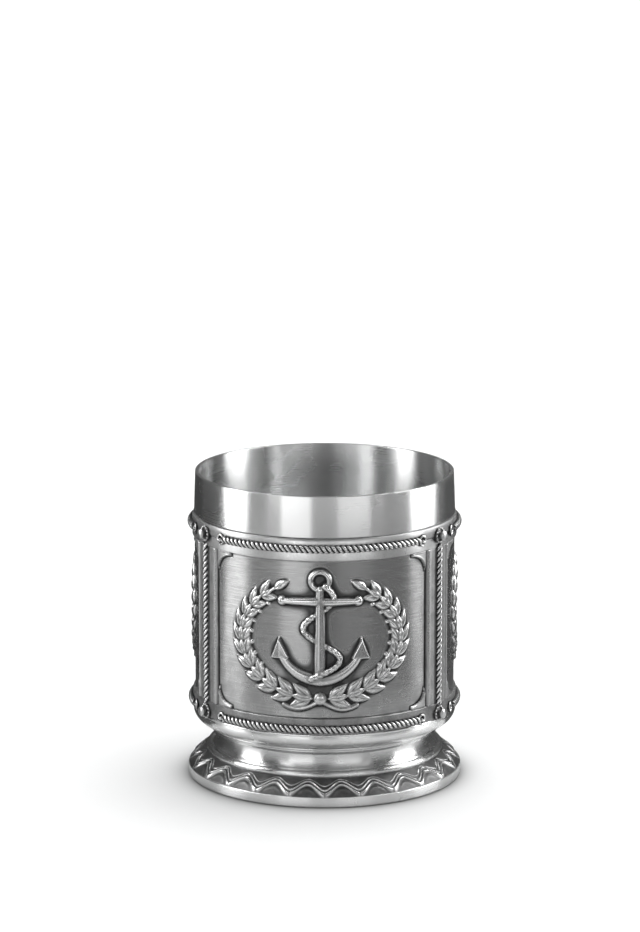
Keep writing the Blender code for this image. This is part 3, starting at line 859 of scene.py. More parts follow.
def profile_mesh(name: str, points: Sequence[Point], shares: Sequence[float] | None = None) -> Mesh:
    """Make the mesh that the turning tree spins.

    Args:
        name: Name of the mesh.
        points: Radius and height of each point.
        shares: Place of each point on the flare, if it has one.

    Returns:
        The mesh.
    """
    mesh = bpy.data.meshes.new(name)
    mesh.from_pydata([(radius, 0.0, height) for radius, height in points], [], [])
    if shares is not None:
        keep(mesh, "share", shares)
    return mesh


def outward(mesh: Mesh, sharp: float) -> None:
    """Point a closed mesh's faces outwards and mark its sharp edges.

    Args:
        mesh: The mesh.
        sharp: Angle in degrees past which an edge is sharp.
    """
    work = bmesh.new()
    work.from_mesh(mesh)
    bmesh.ops.recalc_face_normals(work, faces=work.faces)
    work.to_mesh(mesh)
    work.free()
    mesh.shade_smooth()
    mesh.set_sharp_from_angle(angle=math.radians(sharp))


def seat(piece: Object, node: str) -> None:
    """Let a piece stand for a CAD node.

    Args:
        piece: The finished piece.
        node: Name of the node.
    """
    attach(piece, "root")
    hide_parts(node)
    triangles = sum(len(polygon.vertices) - 2 for polygon in piece.data.polygons)
    log.info("%s stands for %s with %d triangles", piece.name, node, triangles)


def middle(node: str) -> float:
    """Give the height of a CAD node's middle."""
    low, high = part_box(node)
    return (low.z + high.z) / 2


def places(items: Any, name: str) -> np.ndarray:
    """Read where a mesh's vertices or faces are.

    Args:
        items: The vertices or the faces.
        name: The property that holds the place.

    Returns:
        The places, one to a row.
    """
    spots = np.empty(len(items) * 3)
    items.foreach_get(name, spots)
    return spots.reshape(-1, 3)


def refinish(mesh: Mesh, finish: Material, chosen: np.ndarray, sand: float = 0.0) -> None:
    """Give the chosen faces a second finish.

    Args:
        mesh: The mesh.
        finish: The second material.
        chosen: Whether each face takes it.
        sand: How sandy a cast finish is on this mesh.
    """
    mesh.materials.append(finish)
    mesh.polygons.foreach_set("material_index", np.where(chosen, len(mesh.materials) - 1, 0))
    keep(mesh, "sand", np.full(len(mesh.vertices), sand))


def tarnish(mesh: Mesh, reach: Point, depth: float, base: float = 0.0) -> None:
    """Darken a ring, most on both sides of the upright ropes.

    Args:
        mesh: The ring's mesh, which stores a patina.
        reach: Turn from a rope up to which the tarnish is full, and turn where it has gone.
        depth: The patina where it is full.
        base: The patina away from the ropes.
    """
    x, y, _ = places(mesh.vertices, "co").T
    turn = np.arctan2(x, -y)
    gaps = [np.abs((turn - post + math.pi) % math.tau - math.pi) for post in POST_TURNS.values()]
    near = 1.0 - ramped(np.min(gaps, axis=0), *reach)
    mesh.attributes["patina_and_shade"].data.foreach_set("value", base + (depth - base) * near)


def darken_top(mesh: Mesh, reach: Point, depth: float) -> None:
    """Darken the top edge of a ring, where it meets the piece above it.

    Args:
        mesh: The ring's mesh, which stores a patina.
        reach: Distance below the top where the dark has gone, and distance up to which it is full.
        depth: The patina where it is full.
    """
    height = places(mesh.vertices, "co")[:, 2]
    values = np.empty(len(height))
    mesh.attributes["patina_and_shade"].data.foreach_get("value", values)
    edge = depth * ramped(height - height.max(), -reach[0], -reach[1])
    mesh.attributes["patina_and_shade"].data.foreach_set("value", np.maximum(values, edge))


@dataclass
class TurnedParts:
    """The cup, the two bands of the mantle and the neck, all turned on a lathe."""

    segments: int = 288
    lip_radius: float = 37.4 * MM
    lip_wall: float = 1.1 * MM
    lip_round: float = 0.15 * MM
    band_radius: float = 37.8 * MM
    band_round: float = 0.45 * MM
    band_drop: float = 0.45 * MM
    liner_radius: float = 36.6 * MM
    liner_wall: float = 1.1 * MM
    liner_corner: float = 5.5 * MM
    floor_thickness: float = 1.8 * MM
    floor_rows: Point = (0.3, 0.6)
    wall_rows: tuple[float, ...] = (0.3, 0.6, 0.85)
    frame_radius: float = 38.3 * MM
    frame_edge: float = 0.2 * MM
    strip_sink: float = 0.35 * MM
    strip_drop: float = 0.5 * MM
    fillet_width: float = 0.45 * MM
    fillet_height: float = 1.6 * MM
    list_drop: float = 1.9 * MM
    list_rise: float = 0.25 * MM
    list_half_height: float = 0.35 * MM
    shoulder_foot_radius: float = 34.2 * MM
    shoulder_wall: float = 0.5 * MM
    shoulder_drop: float = 3.5 * MM
    groove_radius: float = 33.2 * MM
    groove_height: float = 0.3 * MM
    upper_bead_radius: float = 33.9 * MM
    upper_bead_round: float = 0.45 * MM
    lower_bead_radius: float = 34.5 * MM
    lower_bead_round: float = 1.1 * MM
    lower_bead_drop: float = 0.85 * MM
    nick_depth: float = 0.4 * MM
    nick_height: float = 0.5 * MM
    hollow_edge_radius: float = 33.3 * MM
    hollow_foot_radius: float = 32.9 * MM
    waist_radius: float = 30.9 * MM
    waist_level: float = 13.1 * MM
    neck_bore: float = 27.0 * MM
    overlap: float = 0.2 * MM
    tarnish_reach: Point = (math.radians(9.0), math.radians(13.5))
    upper_tarnish: float = 0.5
    upper_patina: float = 0.1
    seam_reach: Point = (0.5 * MM, 0.15 * MM)
    seam_dark: float = 0.55
    upper_sand: float = 0.6
    lower_tarnish: float = 0.65
    lower_patina: float = 0.5
    lower_sand: float = 1.0
    sharp: float = 32.0
    recipe: Turning = field(init=False)

    def __post_init__(self) -> None:
        """Build the shared tree and read the levels from the frame."""
        self.recipe = Turning("Turned piece")
        self.liner_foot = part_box("cup_liner")[0].z
        self.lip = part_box("cup_liner")[1].z
        self.ring_foot, self.ring_top = (corner.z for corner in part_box("mantle_top_ring"))
        self.shoulder_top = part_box("mantle_shoulder_ring")[1].z
        self.neck_foot, self.neck_top = (corner.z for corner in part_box("neck_collar"))
        self.upper_rope = middle("rope_rail_upper_front")
        self.lower_rope = middle("rope_rail_lower_front")

    def liner(self) -> list[Point]:
        """Draw the profile of the cup: floor, wall, soft lip and the plain band, whose foot curves in.

        Returns:
            Its points, each a radius and a height.
        """
        inner = self.liner_radius - self.liner_wall
        floor = self.liner_foot + self.floor_thickness
        corner = self.liner_corner - self.liner_wall
        mouth = self.lip_radius - self.lip_wall
        soft = self.lip_round
        rim = self.lip - soft
        turn_in = self.band_round
        band_foot = self.ring_top + self.overlap - self.band_drop
        profile = [(0.0, floor)] + [(inner * share, floor) for share in self.floor_rows]
        profile += arc((inner - corner, floor + corner), (corner, corner), -90, 0, 16)
        profile += [(inner + (mouth - inner) * share, floor + corner + (rim - floor - corner) * share)
                    for share in self.wall_rows]
        profile += arc((mouth + soft, rim), (soft, soft), 180, 90, 6)
        profile += arc((self.lip_radius - soft, rim), (soft, soft), 90, 0, 6)
        profile += arc((self.band_radius - turn_in, band_foot + turn_in), (turn_in, turn_in), 0, -90, 6)
        profile += [(self.liner_radius, band_foot)]
        low = (self.liner_radius - self.liner_corner, self.liner_foot + self.liner_corner)
        profile += arc(low, (self.liner_corner, self.liner_corner), 0, -90, 12)
        return profile + [(0.0, self.liner_foot)]

    def top_ring(self) -> list[Point]:
        """Draw the profile of the band over the panels: a rounded top that rolls in to the plain band.

        Returns:
            Its points, each a radius and a height.
        """
        bore = self.liner_radius
        top = self.ring_top + self.overlap - self.band_drop
        bottom = self.ring_foot - self.overlap
        roll = (self.fillet_width, self.fillet_height)
        profile = [(bore, top), (self.frame_radius - roll[0], top)]
        profile += arc((self.frame_radius - roll[0], top - roll[1]), roll, 90, 0, 14)
        profile += [(self.frame_radius, self.upper_rope)]
        profile += [(self.frame_radius - self.strip_sink, self.upper_rope - self.strip_drop)]
        profile += arc((self.frame_radius - self.frame_edge, bottom + self.frame_edge),
                       (self.frame_edge, self.frame_edge), 10, -90, 5)
        return profile + [(bore, bottom), (bore, top)]

    def shoulder_ring(self) -> list[Point]:
        """Draw the profile of the band under the panels: a thin list, then the shoulder and a groove.

        Returns:
            Its points, each a radius and a height.
        """
        bore = self.liner_radius
        top = self.shoulder_top + self.overlap
        edge = self.frame_edge
        half = self.list_half_height
        thin = self.lower_rope - self.list_drop
        start = thin - half - edge - self.shoulder_wall
        reach = self.frame_radius - edge / 2 - self.shoulder_foot_radius
        profile = [(bore, top), (self.frame_radius - edge, top), (self.frame_radius, top - edge)]
        profile += [(self.frame_radius, self.lower_rope)]
        profile += arc((self.frame_radius, thin), (self.list_rise, half), 90, -90, 10)
        profile += [(self.frame_radius - edge, thin - half - edge / 2)]
        profile += arc((self.shoulder_foot_radius, start), (reach, self.shoulder_drop), 0, -90, 24)
        groove = start - self.shoulder_drop - self.groove_height
        profile += [(self.groove_radius, groove), (self.groove_radius, self.liner_foot)]
        low = (self.liner_radius - self.liner_corner, self.liner_foot + self.liner_corner)
        profile += arc(low, (self.liner_corner, self.liner_corner), -70, 0, 10)
        return profile + [(bore, top)]

    def neck(self) -> list[Point]:
        """Draw the profile of the collar: a bead, a nick, a hollow curve and a larger bead on the foot.

        Returns:
            Its points, each a radius and a height.
        """
        top = self.neck_top + self.overlap
        bottom = self.neck_foot - self.lower_bead_drop
        small, large = self.upper_bead_round, self.lower_bead_round
        high = self.upper_bead_radius - small
        low = self.lower_bead_radius - large
        nick = top - 2 * small
        hollow_top = nick - self.nick_height - self.nick_depth
        hollow_foot = bottom + 2 * large
        edge = self.hollow_edge_radius
        depth = self.waist_radius - edge
        waist = (edge, self.waist_level)
        profile = [(self.neck_bore, top), (high, top)]
        profile += arc((high, top - small), (small, small), 90, -90, 12)
        profile += [(edge - self.nick_depth, nick), (edge - self.nick_depth, nick - self.nick_height)]
        profile += arc(waist, (depth, hollow_top - self.waist_level), 90, 0, 10)
        spread = (self.hollow_foot_radius, self.waist_level)
        slack = self.waist_radius - self.hollow_foot_radius
        profile += arc(spread, (slack, self.waist_level - hollow_foot), 0, -75, 16)[1:]
        profile += arc((low, bottom + large), (large, large), 135, -90, 18)
        return profile + [(self.neck_bore, bottom), (self.neck_bore, top)]

    def build(self, finish: Material, worn: Material, cast: Material) -> None:
        """Turn the four pieces.

        Args:
            finish: Material of the cup and the bands.
            worn: Material of the neck, a darker copy of the satin finish that paints shade on it.
            cast: Material of the sandy strips between the ropes and the panels.
        """
        made = {
            "turned_cup": ("cup_liner", self.liner()),
            "turned_top_band": ("mantle_top_ring", self.top_ring()),
            "turned_shoulder_band": ("mantle_shoulder_ring", self.shoulder_ring()),
            "turned_neck": ("neck_collar", self.neck()),
        }
        for name, (node, profile) in made.items():
            # The neck takes the darker copy of the satin finish, which paints shade on it.
            coat = worn if node == "neck_collar" else finish
            sizes = {"Segments": self.segments, "Rows": len(profile), "Finish": coat}
            piece = self.recipe.grow(name, sizes, profile_mesh(name, profile))
            outward(piece.data, self.sharp)
            height = places(piece.data.polygons, "center")[:, 2]
            if node == "mantle_top_ring":
                refinish(piece.data, cast, height < self.ring_top, self.upper_sand)
                tarnish(piece.data, self.tarnish_reach, self.upper_tarnish, self.upper_patina)
                darken_top(piece.data, self.seam_reach, self.seam_dark)
            if node == "mantle_shoulder_ring":
                list_top = self.lower_rope - self.list_drop + self.list_half_height
                refinish(piece.data, cast, height > list_top, self.lower_sand)
                tarnish(piece.data, self.tarnish_reach, self.lower_tarnish, self.lower_patina)
            seat(piece, node)


@dataclass
class WaveFoot:
    """The spread foot with its running wave border."""

    columns_per_wave: int = 30
    waves: int = 24
    trough_turn: float = math.radians(2.0)
    flare_rows: int = 88
    flare_top_radius: float = 33.6 * MM
    flare_step: float = 0.2 * MM
    flare_bulge: float = 0.5 * MM
    rim_height: float = 3.0 * MM
    rim_top_round: float = 0.12 * MM
    rim_foot_round: float = 0.5 * MM
    wall: float = 2.6 * MM
    bore: float = 29.0 * MM
    crown: float = 2.1 * MM
    first_line: Point = (0.170, 0.518)
    second_line: Point = (0.275, 0.715)
    third_line: Point = (0.445, 0.885)
    line_share: float = 0.025
    line_relief: float = 0.42 * MM
    radius: float = 39.78 * MM
    off_flare: float = -1.0
    sharp: float = 40.0

    def profile(self) -> tuple[list[Point], list[float]]:
        """Draw the closed profile of the foot.

        Returns:
            Its points, each a radius and a height, and the place of each on the flare.
        """
        foot_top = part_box("foot_casting")[1].z
        base = (self.radius - self.flare_step, self.rim_height)
        top = (self.flare_top_radius, foot_top)
        out, up = self.outward_direction()
        points: list[Point] = [(self.bore, foot_top), (top[0] - self.flare_bulge, foot_top)]
        shares = [self.off_flare] * len(points)
        for row in range(self.flare_rows + 1):
            share = row / self.flare_rows
            bulge = self.flare_bulge * 4.0 * share * (1.0 - share)
            points.append((top[0] + (base[0] - top[0]) * share + bulge * out,
                           top[1] + (base[1] - top[1]) * share + bulge * up))
            shares.append(share)
        crisp, soft = self.rim_top_round, self.rim_foot_round
        rim = arc((self.radius - crisp, self.rim_height - crisp), (crisp, crisp), 80, 0, 4)
        rim += arc((self.radius - soft, soft), (soft, soft), 0, -90, 8)
        inner = self.radius - self.wall
        cavity = foot_top - self.crown
        rim += [(inner, 0.0), (inner, self.rim_height / 2), (self.bore + self.wall, cavity)]
        rim += [(self.bore, cavity), (self.bore, foot_top)]
        return points + rim, shares + [self.off_flare] * len(rim)

    def outward_direction(self) -> Point:
        """Work out which way the flare faces.

        Returns:
            The radial and the upward part of its outward direction.
        """
        foot_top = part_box("foot_casting")[1].z
        run = self.radius - self.flare_step - self.flare_top_radius
        drop = foot_top - self.rim_height
        length = math.hypot(run, drop)
        return drop / length, run / length

    def build(self, finish: Material, turned: Material) -> None:
        """Cast the foot and turn its rim.

        Args:
            finish: Its material.
            turned: Material of the plain rim.
        """
        points, shares = self.profile()
        out, up = self.outward_direction()
        sizes = {
            "Segments": self.waves * self.columns_per_wave,
            "Rows": len(points),
            "Waves": float(self.waves),
            "Trough turn": self.trough_turn,
            "Line share": self.line_share,
            "Line relief": self.line_relief,
            "Outward": out,
            "Upward": up,
            "Finish": finish,
        }
        lines = {"First": self.first_line, "Second": self.second_line, "Third": self.third_line}
        for name, (crest, trough) in lines.items():
            sizes[f"{name} crest"] = crest
            sizes[f"{name} trough"] = trough
        recipe = Turning("Foot with a running wave", WaveShape())
        piece = recipe.grow("cast_foot", sizes, profile_mesh("cast_foot", points, shares))
        outward(piece.data, self.sharp)
        height = places(piece.data.polygons, "center")[:, 2]
        refinish(piece.data, turned, height < self.rim_height)
        seat(piece, "foot_casting")


@dataclass
class RopeWork:
    """The rope rails over and under the panels, the upright ropes and their rosettes.

    A lay is a strand's radius, the radius at which the strands wind, and how often they do.
    """

    strands: int = 3
    sides: int = 10
    points_per_twist: int = 18
    path_radius: float = 38.5 * MM
    rail_half_sweep: float = math.radians(46.0)
    rail_lay: Triple = (0.55 * MM, 0.66 * MM, 14.1)
    post_lay: Triple = (0.43 * MM, 0.49 * MM, 9.35)
    scroll_turn: float = math.radians(48.3)
    scroll_radius: float = 1.65 * MM
    scroll_eye: float = 0.30 * MM
    scroll_tube: float = 0.31 * MM
    scroll_curls: float = 1.3
    disc_level: float = -0.16 * MM
    scroll_rise: float = 0.35 * MM
    scroll_points: int = 72
    disc_points: int = 2
    knob_radius: float = 1.5 * MM
    knob_half_depth: float = 0.7 * MM
    knob_level: float = 1.62 * MM
    stem_radius: float = 0.8 * MM
    bead_radius: float = 0.38 * MM
    bead_ring: float = 1.95 * MM
    bead_level: float = 0.25 * MM
    beads: int = 12
    plate_radius: float = 2.2 * MM

    def inputs(self, *names: str) -> Inputs:
        """Give a tree's inputs from the fields of the same names."""
        return {name: getattr(self, name.lower().replace(" ", "_")) for name in names}

    def rope(self, turns: Point, heights: Point, upright: bool, finish: Material) -> Inputs:
        """Fill in the inputs of one rope.

        Args:
            turns: Turns of its two ends.
            heights: Heights of its two ends.
            upright: Whether it is an upright rope, which is thinner and has no scrolls.
            finish: Its material.

        Returns:
            The inputs by name.
        """
        strand, lay, twists = self.post_lay if upright else self.rail_lay
        ends = dict(zip(("First turn", "Last turn", "First height", "Last height"), (*turns, *heights)))
        common = self.inputs(
            "Strands", "Sides", "Path radius", "Scroll radius", "Scroll eye", "Scroll tube",
            "Scroll curls", "Scroll turn", "Scroll rise", "Scroll points", "Disc points", "Disc level")
        return common | ends | {
            "Strand radius": strand,
            "Lay radius": lay,
            "Twists": twists,
            "Points": int(twists * self.points_per_twist),
            "Upright": float(upright),
            "Scrolls": 0 if upright else 2,
            "Finish": finish,
        }

    def build(self, finish: Material) -> None:
        """Lay all ropes and rosettes.

        Args:
            finish: Their material.
        """
        recipe = Rope()
        for level in LEVELS:
            height = middle(f"rope_rail_{level}_front")
            for side, turn in PANEL_TURNS.items():
                turns = (turn - self.rail_half_sweep, turn + self.rail_half_sweep)
                sizes = self.rope(turns, (height, height), False, finish)
                piece = recipe.grow(f"twisted_rail_{level}_{side}", sizes)
                seat(piece, f"rope_rail_{level}_{side}")
        for side, turn in POST_TURNS.items():
            low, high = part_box(f"rope_post_{side}")
            sizes = self.rope((turn, turn), (low.z, high.z), True, finish)
            piece = recipe.grow(f"twisted_post_{side}", sizes)
            seat(piece, f"rope_post_{side}")
        self.rosettes(finish)

    def rosettes(self, finish: Material) -> None:
        """Set a rosette on each end of the upright ropes.

        Args:
            finish: Their material.
        """
        recipe = Rosette()
        common = self.inputs(
            "Knob radius", "Knob half depth", "Knob level", "Stem radius", "Beads",
            "Bead radius", "Bead ring", "Bead level", "Plate radius")
        common |= {"Seat radius": self.path_radius, "Finish": finish}
        for level in LEVELS:
            for side, turn in POST_TURNS.items():
                node = f"rosette_{level}_{side}"
                sizes = common | {"Turn": turn, "Height": middle(node)}
                piece = recipe.grow(f"knobbed_rosette_{level}_{side}", sizes)
                seat(piece, node)


class Drawing:
    """A height field over a flat drawing in millimetres, with what is dark and sandy on it."""

    leaf_belly: float = 0.8
    leaf_edge: float = 0.45
    leaf_tip: float = 1e-6
    rib_depth: float = 0.30
    rib_half_width: float = 0.20
    rib_inset: float = 0.03
    twist_lean: float = 0.35
    twist_depth: float = 0.38

    def __init__(self, half_width: float, half_height: float, columns: int, rows: int) -> None:
        """Lay out the grid.

        Args:
            half_width: Half of the panel's width.
            half_height: Half of its height.
            columns: Points across.
            rows: Points up.
        """
        across = np.linspace(-half_width, half_width, columns)
        up = np.linspace(-half_height, half_height, rows)
        self.across, self.up = np.meshgrid(across, up)
        self.cell = (across[1] - across[0], up[1] - up[0])
        self.height, self.dark, self.sand = (np.zeros_like(self.across) for _ in range(3))

    def lay(self, shape: np.ndarray) -> None:
        """Raise the field to a shape where the shape is higher."""
        self.height = np.maximum(self.height, shape)

    def local(self, place: Point, angle: float) -> tuple[np.ndarray, np.ndarray]:
        """Give coordinates along and across a direction from a place.

        Args:
            place: Origin of the new coordinates.
            angle: Direction in radians from across towards up.

        Returns:
            Distances along and to the left of the direction.
        """
        du, dv = self.across - place[0], self.up - place[1]
        c, s = math.cos(angle), math.sin(angle)
        return du * c + dv * s, dv * c - du * s

    def bar(self, start: Point, end: Point, widths: Point, top: float) -> None:
        """Raise a round-topped bar that tapers between two half widths.

        Args:
            start: First end of the centre line.
            end: Other end.
            widths: Half widths at the two ends.
            top: Height of the crown.
        """
        length = math.hypot(end[0] - start[0], end[1] - start[1])
        along, aside = self.local(start, math.atan2(end[1] - start[1], end[0] - start[0]))
        share = np.clip(along / length, 0.0, 1.0)
        distance = np.hypot(along - share * length, aside)
        self.lay(rounded(distance / (widths[0] + (widths[1] - widths[0]) * share), top))

    def hoop(self, radius: float, half_width: float, top: float, centre: Point = (0.0, 0.0)) -> None:
        """Raise a round-topped ring."""
        distance = np.hypot(self.across - centre[0], self.up - centre[1]) - radius
        self.lay(rounded(np.abs(distance) / half_width, top))

    def boss(self, centre: Point, radius: float, top: float) -> None:
        """Raise a dome."""
        self.lay(rounded(np.hypot(self.across - centre[0], self.up - centre[1]) / radius, top))

    def leaf(self, root: Point, angle: float, length: float, half_width: float, top: float) -> None:
        """Raise a pointed leaf with a sunk midrib.

        Args:
            root: Where the leaf leaves its stem.
            angle: Direction of the leaf in radians.
            length: Length of the leaf.
            half_width: Half of its greatest width.
            top: Greatest height.
        """
        along, aside = self.local(root, angle)
        share = np.clip(along / length, 0.0, 1.0)
        width = half_width * np.sin(math.pi * share**self.leaf_belly) + self.leaf_tip
        crown = self.leaf_edge + (1.0 - self.leaf_edge) * np.sin(math.pi * share)
        shape = rounded(np.abs(aside) / width, top * crown)
        rib = self.rib_depth * top * belled(aside, self.rib_half_width)
        rib *= (share > self.rib_inset) * (share < 1.0 - self.rib_inset)
        self.lay(np.where((along > 0.0) & (along < length), shape - np.minimum(rib, shape), 0.0))

    def strand(self, path: np.ndarray, half_width: float, base: np.ndarray, pitch: float) -> None:
        """Raise a twisted rope along a path.

        Args:
            path: Points of the centre line, one to a row.
            half_width: Half of the rope's width.
            base: Height added at each point of the path.
            pitch: Length of one bar of the twist.
        """
        steps = np.hypot(*np.diff(path, axis=0).T)
        run = np.concatenate(([0.0], np.cumsum(steps)))
        nearest = np.full_like(self.across, np.inf)
        place, lift, aside = (np.zeros_like(self.across) for _ in range(3))
        tangent = np.gradient(path, axis=0)
        tangent /= np.hypot(*tangent.T)[:, None]
        for point, along, rise, way in zip(path, run, base, tangent):
            du, dv = self.across - point[0], self.up - point[1]
            distance = du * du + dv * dv
            closer = distance < nearest
            nearest = np.where(closer, distance, nearest)
            place = np.where(closer, along + du * way[0] + dv * way[1], place)
            lift = np.where(closer, rise, lift)
            aside = np.where(closer, dv * way[0] - du * way[1], aside)
        ratio = np.sqrt(nearest) / half_width
        lean = self.twist_lean * aside / half_width
        twist = 0.5 + 0.5 * np.cos(math.tau * (place / pitch + lean))
        shape = rounded(ratio, half_width) * (1.0 - self.twist_depth * (1.0 - twist))
        self.lay(np.where(ratio < 1.0, shape + lift, 0.0))

    def hollows(self, spread: float) -> np.ndarray:
        """Tell how far each point lies under its surroundings, negative where it stands over them."""
        return blurred(self.height, spread / self.cell[0], spread / self.cell[1]) - self.height


def rounded(ratio: np.ndarray, top: Any) -> np.ndarray:
    """Give a half-round section: full height where the ratio is 0, nothing where it is 1 or more."""
    return top * np.sqrt(np.clip(1.0 - ratio * ratio, 0.0, 1.0))


def ramped(value: np.ndarray, low: float, high: float) -> np.ndarray:
    """Rise smoothly from 0 at the low value to 1 at the high one."""
    share = np.clip((value - low) / (high - low), 0.0, 1.0)
    return share * share * (3.0 - 2.0 * share)


def belled(value: np.ndarray, half_width: float) -> np.ndarray:
    """Give a bell that is 1 where the value is 0 and falls off over the half width."""
    return np.exp(-((value / half_width) ** 2))


def blurred(values: np.ndarray, across: float, up: float) -> np.ndarray:
    """Blur a field with a bell of the given widths in cells.

    Args:
        values: The field.
        across: Width along the rows.
        up: Width along the columns.

    Returns:
        The blurred field.
    """
    pad = (int(3 * up) + 1, int(3 * across) + 1)
    padded = np.pad(values, ((pad[0], pad[0]), (pad[1], pad[1])), mode="edge")
    rise = np.fft.fftfreq(padded.shape[0])[:, None] * up
    run = np.fft.rfftfreq(padded.shape[1])[None, :] * across
    bell = np.exp(-2.0 * math.pi**2 * (rise * rise + run * run))
    soft = np.fft.irfft2(np.fft.rfft2(padded) * bell, s=padded.shape)
    return soft[pad[0]:-pad[0], pad[1]:-pad[1]]


@dataclass(frozen=True)
class Laurel:
    """A laurel wreath, open at its top and tied at its foot."""

    wide: float = 24.0
    tall: float = 17.2
    first_turn: float = -84.0
    last_turn: float = 56.0
    pairs: int = 11
    leaf_length: float = 7.0
    leaf_half_width: float = 1.65
    leaf_lean: float = 0.52
    leaf_top: float = 0.95
    taper: float = 0.22
    middle_leaf: Triple = (0.85, 0.8, 1.25)
    end_leaf: Point = (0.8, 0.75)
    stem_half_width: float = 0.42
    stem_top: float = 0.55
    berry_radius: float = 0.62
    berry_top: float = 0.6
    berry_place: Point = (0.86, 0.84)
    first_berry: int = 2
    tie_radius: float = 1.9
    tie_top: float = 1.1
    ribbon_length: float = 9.5
    ribbon_half_width: float = 0.75
    ribbon_start: Point = (0.8, 0.9)
    ribbon_swing: float = 2.1
    ribbon_bend: float = 2.6
    ribbon_pitch: float = 40.0
    ribbon_points: int = 60

    def draw(self, sheet: Drawing) -> None:
        """Raise both branches, the tie and the ribbon.

        Args:
            sheet: The drawing.
        """
        for side in (-1.0, 1.0):
            self.branch(sheet, side)
            share = np.linspace(0.0, 1.0, self.ribbon_points)
            aside, drop = self.ribbon_start
            fall = -self.tall - drop - self.ribbon_swing * np.sin(share * self.ribbon_bend)
            path = np.stack((side * (aside + self.ribbon_length * share), fall), axis=1)
            sheet.strand(path, self.ribbon_half_width, np.zeros_like(share), self.ribbon_pitch)
        sheet.boss((0.0, -self.tall), self.tie_radius, self.tie_top)

    def branch(self, sheet: Drawing, side: float) -> None:
        """Raise one branch: a stem with leaves on both sides of it, and berries.

        Args:
            sheet: The drawing.
            side: -1 on the left and 1 on the right.
        """
        sweep = np.radians(np.linspace(self.first_turn, self.last_turn, self.pairs + 1))
        points = [(side * self.wide * math.cos(a), self.tall * math.sin(a)) for a in sweep]
        for number, (here, there) in enumerate(zip(points, points[1:])):
            sheet.bar(here, there, (self.stem_half_width, self.stem_half_width), self.stem_top)
            heading = math.atan2(there[1] - here[1], there[0] - here[0])
            scale = 1.0 - self.taper * number / self.pairs
            length, width = self.leaf_length * scale, self.leaf_half_width * scale
            for lean in (-self.leaf_lean, self.leaf_lean):
                sheet.leaf(here, heading + lean, length, width, self.leaf_top)
            longer, wider, higher = self.middle_leaf
            sheet.leaf(here, heading, length * longer, width * wider, self.leaf_top * higher)
            if number >= self.first_berry:
                spot = (here[0] * self.berry_place[0], here[1] * self.berry_place[1])
                sheet.boss(spot, self.berry_radius, self.berry_top)
        (x, y), end = points[-2:]
        heading = math.atan2(end[1] - y, end[0] - x)
        length, width = self.leaf_length * self.end_leaf[0], self.leaf_half_width * self.end_leaf[1]
        sheet.leaf(end, heading, length, width, self.leaf_top)


